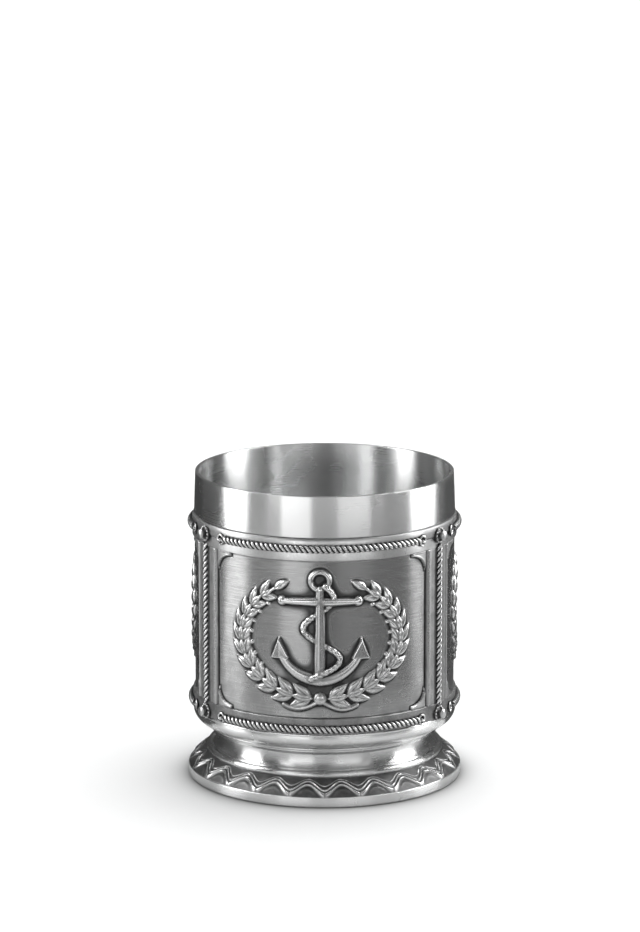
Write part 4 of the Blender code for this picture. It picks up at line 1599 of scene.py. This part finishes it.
@dataclass(frozen=True)
class Anchor:
    """An anchor with a rope wound round its shank."""

    ring_level: float = 17.2
    ring_radius: float = 2.6
    ring_half_width: float = 0.85
    ring_rise: float = 0.75
    shank_foot: float = -11.5
    shank_half_widths: Point = (1.25, 1.75)
    stock_level: float = 11.2
    stock_half_widths: Point = (1.45, 0.95)
    stock_half_length: float = 10.8
    arm_radius: float = 12.2
    arm_level: float = 0.6
    arm_end: float = -18.0
    arm_half_width: float = 1.9
    arm_taper: float = 0.07
    arm_rise: float = 0.95
    arm_points: int = 13
    fluke_length: float = 3.9
    fluke_heel: float = 2.6
    fluke_half_width: float = 2.9
    fluke_lean: float = 0.35
    fluke_edge: float = 0.6
    fluke_ridge: float = 0.45
    fluke_soft: float = 0.3
    top: float = 1.25
    rope_half_width: float = 0.85
    rope_swing: float = 6.2
    rope_turns: float = 1.5
    rope_pitch: float = 1.5
    rope_drop: float = 27.0
    rope_inset: float = 1.4
    rope_start: float = 0.4
    rope_narrow: float = 0.55
    rope_lift: float = 0.6
    rope_points: int = 150

    def draw(self, sheet: Drawing) -> None:
        """Raise the ring, the shank, the stock, the arms with their flukes, and the rope.

        Args:
            sheet: The drawing.
        """
        ring_top = self.top * self.ring_rise
        sheet.hoop(self.ring_radius, self.ring_half_width, ring_top, (0.0, self.ring_level))
        shank_top = self.ring_level - self.ring_radius
        sheet.bar((0.0, shank_top), (0.0, self.shank_foot), self.shank_half_widths, self.top)
        for side in (-1.0, 1.0):
            end = (side * self.stock_half_length, self.stock_level)
            sheet.bar((0.0, self.stock_level), end, self.stock_half_widths, self.top)
            sheet.boss(end, self.stock_half_widths[0], self.top)
            self.arm(sheet, side)
        self.wind(sheet)

    def arm(self, sheet: Drawing, side: float) -> None:
        """Raise one arm and its pointed fluke.

        Args:
            sheet: The drawing.
            side: -1 on the left and 1 on the right.
        """
        angles = np.radians(np.linspace(-90.0, self.arm_end, self.arm_points))
        points = [(side * self.arm_radius * math.cos(a), self.arm_level + self.arm_radius * math.sin(a))
                  for a in angles]
        for number, (here, there) in enumerate(zip(points, points[1:])):
            width = self.arm_half_width - self.arm_taper * number
            sheet.bar(here, there, (width, width - self.arm_taper), self.top * self.arm_rise)
        heading = math.pi / 2 - side * (math.radians(self.arm_end) + self.fluke_lean)
        along, aside = sheet.local(points[-1], heading)
        whole = self.fluke_length + self.fluke_heel
        edge = self.fluke_half_width * np.clip((self.fluke_length - along) / whole, 0.0, 1.0)
        body = np.minimum(along + self.fluke_heel, edge - np.abs(aside))
        ridge = np.clip(1.0 - np.abs(aside) / self.fluke_half_width, 0.0, 1.0)
        rise = self.fluke_edge + self.fluke_ridge * ridge
        sheet.lay(self.top * rise * ramped(body, 0.0, self.fluke_soft))

    def wind(self, sheet: Drawing) -> None:
        """Raise the rope, which passes over and under the shank.

        Args:
            sheet: The drawing.
        """
        share = np.linspace(0.0, 1.0, self.rope_points)
        phase = share * math.tau * self.rope_turns + self.rope_start
        swing = self.rope_swing * np.sin(phase) * (self.rope_narrow + (1.0 - self.rope_narrow) * share)
        drop = self.ring_level - self.rope_inset - self.rope_drop * share
        over = 1.0 - self.rope_lift * (1.0 - np.cos(phase + math.pi * (share > 0.5)))
        sheet.strand(np.stack((swing, drop), axis=1), self.rope_half_width,
                     np.clip(over, 0.0, 1.0), self.rope_pitch)


@dataclass(frozen=True)
class ShipWheel:
    """A ship's wheel with turned handles."""

    spokes: int = 8
    rim_radius: float = 9.6
    rim_half_width: float = 1.75
    edge_half_width: float = 0.35
    hub_radius: float = 3.2
    handle_reach: tuple[float, ...] = (2.0, 9.0, 11.6, 13.6, 15.6)
    handle_half_width: tuple[float, ...] = (0.85, 0.7, 0.75, 1.2, 0.55)
    handle_rise: float = 0.9
    edge_place: float = 0.8
    hub_rise: float = 1.2
    hub_edge: float = 0.78
    top: float = 1.1

    def draw(self, sheet: Drawing) -> None:
        """Raise the spokes with their handles, the rim and the hub.

        Args:
            sheet: The drawing.
        """
        for spoke in range(self.spokes):
            angle = math.tau * spoke / self.spokes
            ends = [(reach * math.cos(angle), reach * math.sin(angle)) for reach in self.handle_reach]
            widths = self.handle_half_width
            for here, there, first, second in zip(ends, ends[1:], widths, widths[1:]):
                sheet.bar(here, there, (first, second), self.top * self.handle_rise)
        sheet.hoop(self.rim_radius, self.rim_half_width, self.top)
        for side in (-self.edge_place, self.edge_place):
            sheet.hoop(self.rim_radius + side * self.rim_half_width, self.edge_half_width, self.top)
        sheet.boss((0.0, 0.0), self.hub_radius, self.top * self.hub_rise)
        sheet.hoop(self.hub_radius * self.hub_edge, self.edge_half_width, self.top * self.hub_rise)


@dataclass(frozen=True)
class CompassRose:
    """A compass rose of long and short points on a ring."""

    ring_radius: float = 10.2
    ring_half_width: float = 0.8
    ring_rise: float = 0.5
    inner_ring_radius: float = 8.4
    inner_ring_half_width: float = 0.32
    inner_ring_rise: float = 0.35
    short_points: int = 8
    short_size: Point = (11.6, 3.4)
    short_rise: float = 0.75
    long_points: int = 4
    long_size: Point = (15.4, 3.9)
    hub_radius: float = 1.6
    hub_rise: float = 1.1
    flank_slope: float = 1.6
    ridge_fall: float = 0.45
    edge_height: float = 0.2
    top: float = 1.3

    def draw(self, sheet: Drawing) -> None:
        """Raise the rings, the short points, the long points over them and the hub.

        Args:
            sheet: The drawing.
        """
        sheet.hoop(self.ring_radius, self.ring_half_width, self.top * self.ring_rise)
        sheet.hoop(self.inner_ring_radius, self.inner_ring_half_width, self.top * self.inner_ring_rise)
        first = math.pi / self.short_points
        self.points(sheet, self.short_points, first, self.short_size, self.top * self.short_rise)
        self.points(sheet, self.long_points, 0.0, self.long_size, self.top)
        sheet.boss((0.0, 0.0), self.hub_radius, self.top * self.hub_rise)

    def points(self, sheet: Drawing, count: int, start: float, size: Point, top: float) -> None:
        """Raise a star of ridged points.

        Args:
            sheet: The drawing.
            count: How many points.
            start: Angle of the first one.
            size: Reach of a point and the half width of its waist.
            top: Height of its ridge at the middle.
        """
        long, waist = size
        reach = np.hypot(sheet.across, sheet.up)
        for number in range(count):
            along, aside = sheet.local((0.0, 0.0), start + math.tau * number / count)
            half = waist * np.clip(np.minimum(along / waist, (long - along) / (long - waist)), 0.0, 1.0)
            body = np.where((along > 0.0) & (half > 0.0), half - np.abs(aside), -1.0)
            ridge = top * (1.0 - self.ridge_fall * reach / long)
            rise = np.clip(body / waist * self.flank_slope, 0.0, 1.0) * ridge
            sheet.lay(np.where(body > 0.0, self.edge_height + rise, 0.0))


@dataclass
class ReliefPanels:
    """The three cast panels: sandy stiles, dark grooves, spandrel corners and a motif in a wreath."""

    columns: int = 380
    rows: int = 250
    ground_radius: float = 37.65
    frame_rise: float = 0.65
    back_radius: float = 36.7
    stile: float = 5.3
    groove_width: float = 0.6
    groove_depth: float = 0.1
    list_offset: float = 0.42
    list_half_width: float = 0.36
    list_rise: float = 0.35
    corner: Point = (6.2, 5.6)
    corner_step: float = 0.9
    corner_gap: float = 0.75
    corner_soft: float = 0.08
    corner_rim: float = 0.25
    corner_rim_place: float = 0.28
    corner_rim_rise: float = 0.10
    corner_rim_polish: float = 0.8
    corner_line: float = 0.26
    corner_line_patina: float = 0.95
    flank_patina: float = 0.6
    flank_reach: Point = (0.1, 0.4)
    flank_clear: Point = (0.0, 0.12)
    groove_patina: float = 0.92
    groove_side_shade: float = 0.35
    groove_side_shade_reach: float = 3.0
    edge_soft: float = 0.06
    groove_soft: float = 0.12
    end_shadow_depth: float = 0.5
    end_shadow_inset: float = 0.15
    end_shadow_width: float = 0.3
    stile_shade_depth: float = 0.5
    stile_shade_reach: Point = (0.5, 2.2)
    seam_dark: float = 0.92
    seam_reach: Point = (1.6, 3.0)
    list_patina: float = 0.65
    list_sink: float = 0.06
    list_sink_width: float = 0.16
    list_polish: Point = (0.05, 0.2)
    list_flank: Point = (0.2, 0.36)
    list_flank_end: Point = (0.5, 0.8)
    bottom_shade_depth: float = 0.3
    bottom_shade_reach: Point = (-6.0, 22.0)
    near_spread: float = 0.55
    near_reach: Point = (0.02, 0.16)
    wide_spread: float = 1.6
    wide_reach: Point = (0.07, 0.34)
    wide_patina: float = 0.9
    sand_reach: Point = (0.2, 0.6)
    ground_reach: Point = (0.03, 0.30)
    softness: float = 0.45
    sharp: float = 180.0
    laurel: Laurel = field(default_factory=Laurel)
    motifs: dict[Motif, Anchor | ShipWheel | CompassRose] = field(default_factory=lambda: {
        Motif.ANCHOR: Anchor(), Motif.WHEEL: ShipWheel(), Motif.COMPASS: CompassRose()})

    def framed(self, sheet: Drawing, half_width: float, half_height: float) -> None:
        """Raise the stiles with their thin lists, cut the dark grooves inside them, and paint shade
        under the top and bottom edges, along the field beside the grooves and on the stiles towards the
        posts.

        Args:
            sheet: The drawing.
            half_width: Half width of the whole panel.
            half_height: Half height of the whole panel.
        """
        edge = half_width - self.stile
        past = np.abs(sheet.across) - edge
        on_stile = ramped(past, -self.edge_soft, self.edge_soft)
        in_groove = ramped(past + self.groove_width, -self.groove_soft, self.groove_soft)
        in_groove *= 1.0 - on_stile
        sheet.height = sheet.height * (1.0 - np.maximum(on_stile, in_groove))
        sheet.height -= self.groove_depth * in_groove
        sheet.height += self.frame_rise * on_stile
        sheet.dark = np.maximum(sheet.dark, in_groove * self.groove_patina)
        self.spandrels(sheet, edge, half_height)
        thin = rounded(np.abs(past - self.list_offset) / self.list_half_width, self.list_rise)
        sheet.height += thin
        sink = self.list_sink_width
        beyond = belled(past - self.list_offset - self.list_half_width - sink, sink)
        sheet.height -= self.list_sink * beyond
        sheet.sand = np.maximum(sheet.sand, on_stile)
        sheet.sand *= 1.0 - ramped(thin, *self.list_polish)
        # Painted shadow under the top and bottom edges of the opening.
        ends = belled(half_height - np.abs(sheet.up) - self.end_shadow_inset, self.end_shadow_width) * (1.0 - on_stile)
        # Painted shade at the panel's sides next to the rope posts.
        seam = 1.0 - ramped(half_width - np.abs(sheet.across), *self.seam_reach)
        # Painted shade on the field beside the grooves, under the raised stiles.
        shade_by_groove = (1.0 - ramped(-past - self.groove_width, 0.0, self.groove_side_shade_reach)) * (1.0 - on_stile)
        outer = past - self.list_offset
        flank = ramped(outer, *self.list_flank) * (1.0 - ramped(outer, *self.list_flank_end))
        # Painted shade: the stile darkens towards the post.
        stile_shade = ramped(past, *self.stile_shade_reach)
        sheet.dark = np.maximum.reduce((
            sheet.dark, self.end_shadow_depth * ends, self.seam_dark * seam, self.groove_side_shade * shade_by_groove,
            self.list_patina * flank, self.stile_shade_depth * stile_shade))

    def spandrels(self, sheet: Drawing, edge: float, half_height: float) -> None:
        """Raise the plates that fill the corners of the opening round to a hollow curve.

        Args:
            sheet: The drawing.
            edge: Half width of the opening.
            half_height: Half of its height.
        """
        width, height = self.corner
        step = self.corner_step
        du = np.abs(sheet.across) - (edge - width)
        dv = np.abs(sheet.up) - (half_height - height)
        reach = np.hypot(np.maximum(du, 0.0) / (width - step), np.maximum(dv, 0.0) / (height - step))
        depth = np.minimum.reduce(((reach - 1.0) * (width - step), du, dv))
        soft = self.corner_soft
        open_side = ramped(edge - self.corner_gap - np.abs(sheet.across), -soft, soft)
        plate = ramped(depth, -self.edge_soft, self.edge_soft) * open_side
        rim = belled(depth - self.corner_rim_place, self.corner_rim) * plate
        outline = belled(depth + self.corner_line, self.corner_line) * (1.0 - plate) * open_side
        sheet.height = sheet.height * (1.0 - np.maximum(plate, outline)) + self.frame_rise * plate
        sheet.height += self.corner_rim_rise * rim - self.groove_depth * outline
        sheet.sand = np.maximum(sheet.sand, plate * (1.0 - self.corner_rim_polish * rim))
        sheet.dark = np.maximum(sheet.dark * (1.0 - plate), self.corner_line_patina * outline)

    def draw(self, motif: Motif, half_width: float, half_height: float) -> Drawing:
        """Draw one panel.

        Args:
            motif: What stands in its wreath.
            half_width: Half width of the whole panel.
            half_height: Half height of the whole panel.

        Returns:
            The finished drawing.
        """
        sheet = Drawing(half_width, half_height, self.columns, self.rows)
        self.laurel.draw(sheet)
        self.motifs[motif].draw(sheet)
        sheet.height = blurred(sheet.height, self.softness, self.softness)
        self.framed(sheet, half_width, half_height)
        return sheet

    def build(self, finish: Material) -> None:
        """Cast the three panels.

        Args:
            finish: Their material.
        """
        for motif in self.motifs:
            turn = PANEL_TURNS[motif.value]
            node = f"relief_panel_{motif.value}"
            low, high = (corner.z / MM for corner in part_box(node))
            half_height = (high - low) / 2
            half_width = math.pi / 3 * self.ground_radius
            sheet = self.draw(motif, half_width, half_height)
            piece = self.cast(f"cast_panel_{motif.value}", sheet, turn, (low + high) / 2)
            piece.data.materials.append(finish)
            seat(piece, node)

    def cast(self, name: str, sheet: Drawing, turn: float, level: float) -> Object:
        """Wrap a drawing round the cup as a closed mesh.

        Args:
            name: Name of the piece.
            sheet: The drawing.
            turn: Turn of the panel's middle.
            level: Height of the panel's middle in millimetres.

        Returns:
            The piece with its patina (painted shade mixed in), ground and sand attributes.
        """
        rows, columns = sheet.height.shape
        angle = sheet.across / self.ground_radius + turn
        reach = self.ground_radius + sheet.height
        front = np.stack((reach * np.sin(angle), -reach * np.cos(angle), level + sheet.up), axis=-1)
        edge = angle[[0, -1]]
        ends = sheet.up[[0, -1]]
        back = np.stack((self.back_radius * np.sin(edge), -self.back_radius * np.cos(edge),
                         level + ends), axis=-1)
        spots = np.concatenate((front.reshape(-1, 3), back.reshape(-1, 3))) * MM
        index = np.arange(rows * columns).reshape(rows, columns)
        rear = np.arange(2 * columns).reshape(2, columns) + rows * columns
        quads = np.stack((index[:-1, :-1], index[:-1, 1:], index[1:, 1:], index[1:, :-1]), axis=-1)
        faces: list[Any] = quads.reshape(-1, 4).tolist()
        for row, hidden, flip in ((index[0], rear[0], True), (index[-1], rear[1], False)):
            ring = np.stack((row[:-1], row[1:], hidden[1:], hidden[:-1]), axis=-1)
            faces += (ring[:, ::-1] if flip else ring).tolist()
        faces += np.stack((rear[0, :-1], rear[1, :-1], rear[1, 1:], rear[0, 1:]), axis=-1).tolist()
        faces.append(index[:, 0].tolist()[::-1] + [int(rear[0, 0]), int(rear[1, 0])])
        faces.append(index[:, -1].tolist() + [int(rear[1, -1]), int(rear[0, -1])])
        mesh = bpy.data.meshes.new(name)
        mesh.from_pydata(spots.tolist(), [], faces)
        outward(mesh, self.sharp)
        near, wide = sheet.hollows(self.near_spread), sheet.hollows(self.wide_spread)
        opening = 1.0 - ramped(sheet.sand, *self.sand_reach)
        wide = self.wide_patina * ramped(wide, *self.wide_reach)
        hollow = np.maximum(ramped(near, *self.near_reach), wide)
        flanks = self.flank_patina * ramped(sheet.height, *self.flank_reach)
        flanks *= 1.0 - ramped(-near, *self.flank_clear)
        # Painted shade: the panel darkens towards its bottom.
        low = self.bottom_shade_depth * ramped(-sheet.up, *self.bottom_shade_reach)
        kept = {
            "patina_and_shade": np.maximum(np.maximum.reduce((hollow, flanks, low)) * opening, sheet.dark),
            "ground": (1.0 - ramped(sheet.height, *self.ground_reach)) * opening,
            "sand": sheet.sand,
        }
        for label, values in kept.items():
            stored = np.zeros(len(spots))
            stored[:values.size] = values.ravel()
            keep(mesh, label, stored)
        return placed(name, mesh)


@dataclass(frozen=True)
class Card:
    """A card that only the metal reflects, upright from the floor or hung above the others.

    Its azimuth and width are in degrees, and a card with no floor level is a hung one.
    """

    azimuth: float
    width: float
    level: float
    floor_level: float | None = None
    inner: float = 0.13


@dataclass
class Studio:
    """Floor, soft light, reflection cards and the camera of the photograph."""

    view_azimuth: float = 1.9
    view_elevation: float = 14.235
    view_distance: float = 1.185
    pitch_up: float = 2.172
    yaw_left: float = 0.066
    lens: float = 157.05
    sensor: float = 36.0
    view_depth: Point = (0.05, 100.0)
    card_distance: float = 0.32
    card_split: float = 0.12
    card_height: float = 0.80
    card_knee: float = 0.05
    card_lift: float = 0.5 * MM
    card_steps: int = 8
    floor_size: float = 14.0
    floor_drop: float = 0.05 * MM
    floor_shade: float = 1.0
    floor_roughness: float = 0.9
    floor_gloss: float = 0.1
    contact_radius: float = 39.8 * MM
    contact_shadow_reach: float = 2.7 * MM
    contact_shadow_depth: float = 0.6
    sky_level: float = 0.28
    zenith_level: float = 2.4
    sky_way: Triple = (0.19, 0.25, 0.949)
    key_power: float = 0.4
    key_size: float = 0.9
    key_place: Triple = (-0.15, 0.10, 1.3)
    key_aim: Triple = (0.0, 0.0, 0.04)
    cards: tuple[Card, ...] = (
        Card(-155.0, 50.0, 0.08, 0.06, 0.05),
        Card(-122.0, 16.0, 0.18, 0.09, 0.05),
        Card(-103.0, 22.0, 0.20, 0.12, 0.05),
        Card(-80.0, 24.0, 5.0, 1.7),
        Card(-61.5, 13.0, 0.50, 0.40),
        Card(-45.5, 19.0, 0.60, 0.45),
        Card(-23.5, 25.0, 3.6, 1.0),
        Card(0.0, 22.0, 1.45, 0.20),
        Card(24.5, 27.0, 3.1, 0.30),
        Card(57.5, 39.0, 0.67, 0.24),
        Card(92.0, 30.0, 5.0, 1.15),
        Card(116.0, 18.0, 0.22, 0.14, 0.05),
        Card(152.5, 55.0, 0.15, 0.09, 0.05),
        Card(-138.3, 83.4, 0.18),
        Card(-86.5, 20.0, 11.5),
        Card(-62.8, 27.4, 0.03),
        Card(-42.5, 13.0, 2.2),
        Card(-27.0, 18.0, 0.45),
        Card(-13.0, 10.0, 0.20),
        Card(-1.0, 14.0, 0.10),
        Card(16.0, 20.0, 0.50),
        Card(35.5, 19.0, 0.60),
        Card(48.0, 6.0, 1.4),
        Card(67.3, 32.6, 0.03),
        Card(97.3, 27.4, 11.5),
        Card(145.5, 69.0, 0.22),
    )

    def floor(self) -> None:
        """Lay the pale floor, with a contact shadow painted into its colour close to the foot."""
        half = self.floor_size / 2
        mesh = bpy.data.meshes.new("floor")
        corners = [(-half, -half, 0.0), (half, -half, 0.0), (half, half, 0.0), (-half, half, 0.0)]
        mesh.from_pydata(corners, [], [(0, 1, 2, 3)])
        paint = Paint("pale floor")
        x, y, _ = paint.parts(paint.place())
        gap = x.hypot(y) - self.contact_radius
        # Painted contact shadow: the floor's colour darkens towards the foot.
        painted_contact_shadow = (gap * (-1.0 / self.contact_shadow_reach)).math("EXPONENT") * self.contact_shadow_depth
        paint.set("Base Color", paint.mixed(painted_contact_shadow.clamped(), self.floor_shade, 0.0))
        paint.set("Roughness", self.floor_roughness)
        paint.set("Specular IOR Level", self.floor_gloss)
        mesh.materials.append(paint.material)
        piece = placed("floor", mesh)
        piece.location.z = -self.floor_drop

    def card(self, number: int, card: Card) -> None:
        """Set up one reflection card.

        Args:
            number: Its number.
            card: Where it stands, how wide and bright it is, and how bright and near its foot is.
        """
        steps, lift = self.card_steps, self.card_lift
        centre = card.azimuth + self.view_azimuth
        turns = np.radians(np.linspace(-card.width / 2, card.width / 2, steps + 1) + centre)
        far, split = self.card_distance, self.card_split
        if card.floor_level is None:
            rows = [(far, split), (far, self.card_height)]
            levels = [card.level]
        else:
            rows = [(card.inner, lift), (far, lift), (far, self.card_knee), (far, split)]
            levels = [card.floor_level, card.floor_level, card.level]
        spots = [(reach * math.sin(a), -reach * math.cos(a), height)
                 for reach, height in rows for a in turns]
        span = steps + 1
        faces = [(r * span + i, r * span + i + 1, (r + 1) * span + i + 1, (r + 1) * span + i)
                 for r in range(len(levels)) for i in range(steps)]
        mesh = bpy.data.meshes.new(f"card_{number}")
        mesh.from_pydata(spots, [], faces)
        for row, level in enumerate(levels):
            mesh.materials.append(self.glow(f"card {number} row {row}", level))
        mesh.polygons.foreach_set("material_index", np.repeat(np.arange(len(levels)), steps))
        piece = placed(f"card_{number}", mesh)
        piece.visible_camera = False
        piece.visible_diffuse = False
        piece.visible_shadow = False

    @staticmethod
    def glow(name: str, level: float) -> Material:
        """Make the even glow of a card, which the floor does not pick up by way of the metal.

        Args:
            name: Name of the material.
            level: How bright it is, with white at 1.

        Returns:
            The material, which lights nothing by itself.
        """
        material = bpy.data.materials.new(name)
        material.use_nodes = True
        graph = Graph(material.node_tree)
        direct = (1.0 - graph.value(graph.node("ShaderNodeLightPath"), "Diffuse Depth")).clamped()
        light = graph.node("ShaderNodeEmission", None, {"Strength": direct * level})
        graph.node("ShaderNodeOutputMaterial", None, {"Surface": light.outputs[0]})
        material.cycles.emission_sampling = "NONE"
        return material

    def sky(self) -> None:
        """Light the scene softly, most from one side above, and white where the camera looks."""
        world = bpy.data.worlds.new("soft sky")
        world.use_nodes = True
        graph = Graph(world.node_tree)
        path = graph.node("ShaderNodeLightPath")
        seen = graph.value(path, "Is Camera Ray") + graph.value(path, "Is Glossy Ray")
        seen = (seen + graph.value(path, "Is Transmission Ray")).clamped()
        seen = seen * (1.0 - graph.value(path, "Diffuse Depth")).clamped()
        x, y, z = graph.parts(graph.node("ShaderNodeTexCoord").outputs["Generated"])
        side, back, rise = self.sky_way
        above = (x * side + y * back + z * rise).most(0.0)
        soft = self.sky_level + above * above * above * self.zenith_level
        strength = soft + seen * (1.0 - soft)
        glow = graph.node("ShaderNodeBackground", None, {"Strength": strength})
        glow.inputs["Color"].default_value = (1.0, 1.0, 1.0, 1.0)
        graph.node("ShaderNodeOutputWorld", None, {"Surface": glow.outputs[0]})
        bpy.context.scene.world = world

    def key(self) -> None:
        """Hang one broad soft lamp over the beaker."""
        lamp = bpy.data.lights.new("overhead", "AREA")
        lamp.shape = "DISK"
        lamp.size = self.key_size
        lamp.energy = self.key_power
        piece = placed("overhead", lamp)
        piece.location = self.key_place
        way = Vector(self.key_aim) - piece.location
        piece.rotation_euler = way.to_track_quat("-Z", "Y").to_euler()
        piece.visible_glossy = False

    def camera(self) -> None:
        """Stand the camera where the photograph was taken."""
        data = bpy.data.cameras.new("camera")
        data.lens = self.lens
        data.sensor_width = self.sensor
        data.clip_start, data.clip_end = self.view_depth
        piece = placed("camera", data)
        turn = math.radians(self.view_azimuth)
        rise = math.radians(self.view_elevation)
        low, high = CAD_BOX
        level = (low.z + high.z) / 2
        flat = self.view_distance * math.cos(rise)
        piece.location = (flat * math.sin(turn), -flat * math.cos(turn),
                          level + self.view_distance * math.sin(rise))
        pitch = math.radians(90.0 - self.view_elevation + self.pitch_up)
        piece.rotation_euler = (pitch, 0.0, turn + math.radians(self.yaw_left))
        bpy.context.scene.camera = piece

    def build(self) -> None:
        """Set up the whole studio."""
        self.camera()
        self.floor()
        self.sky()
        self.key()
        for number, card in enumerate(self.cards, 1):
            self.card(number, card)


def main() -> None:
    """Build the studio and the beaker in order."""
    logging.basicConfig(level=logging.INFO, format="%(name)s %(message)s")
    bpy.context.scene.view_settings.view_transform = "Standard"
    Studio().build()
    satin = TurnedPewter("satin turned pewter").make()
    # A darker copy of the satin finish, which paints shade on the neck.
    worn = TurnedPewter("worn turned pewter", shade=0.55, dull_shade=0.48).make()
    oxidised = CastPewter("oxidised cast pewter").make()
    TurnedParts().build(satin, worn, oxidised)
    WaveFoot().build(oxidised, satin)
    ReliefPanels().build(oxidised)
    RopeWork().build(oxidised)


if __name__ == "__main__":
    main()
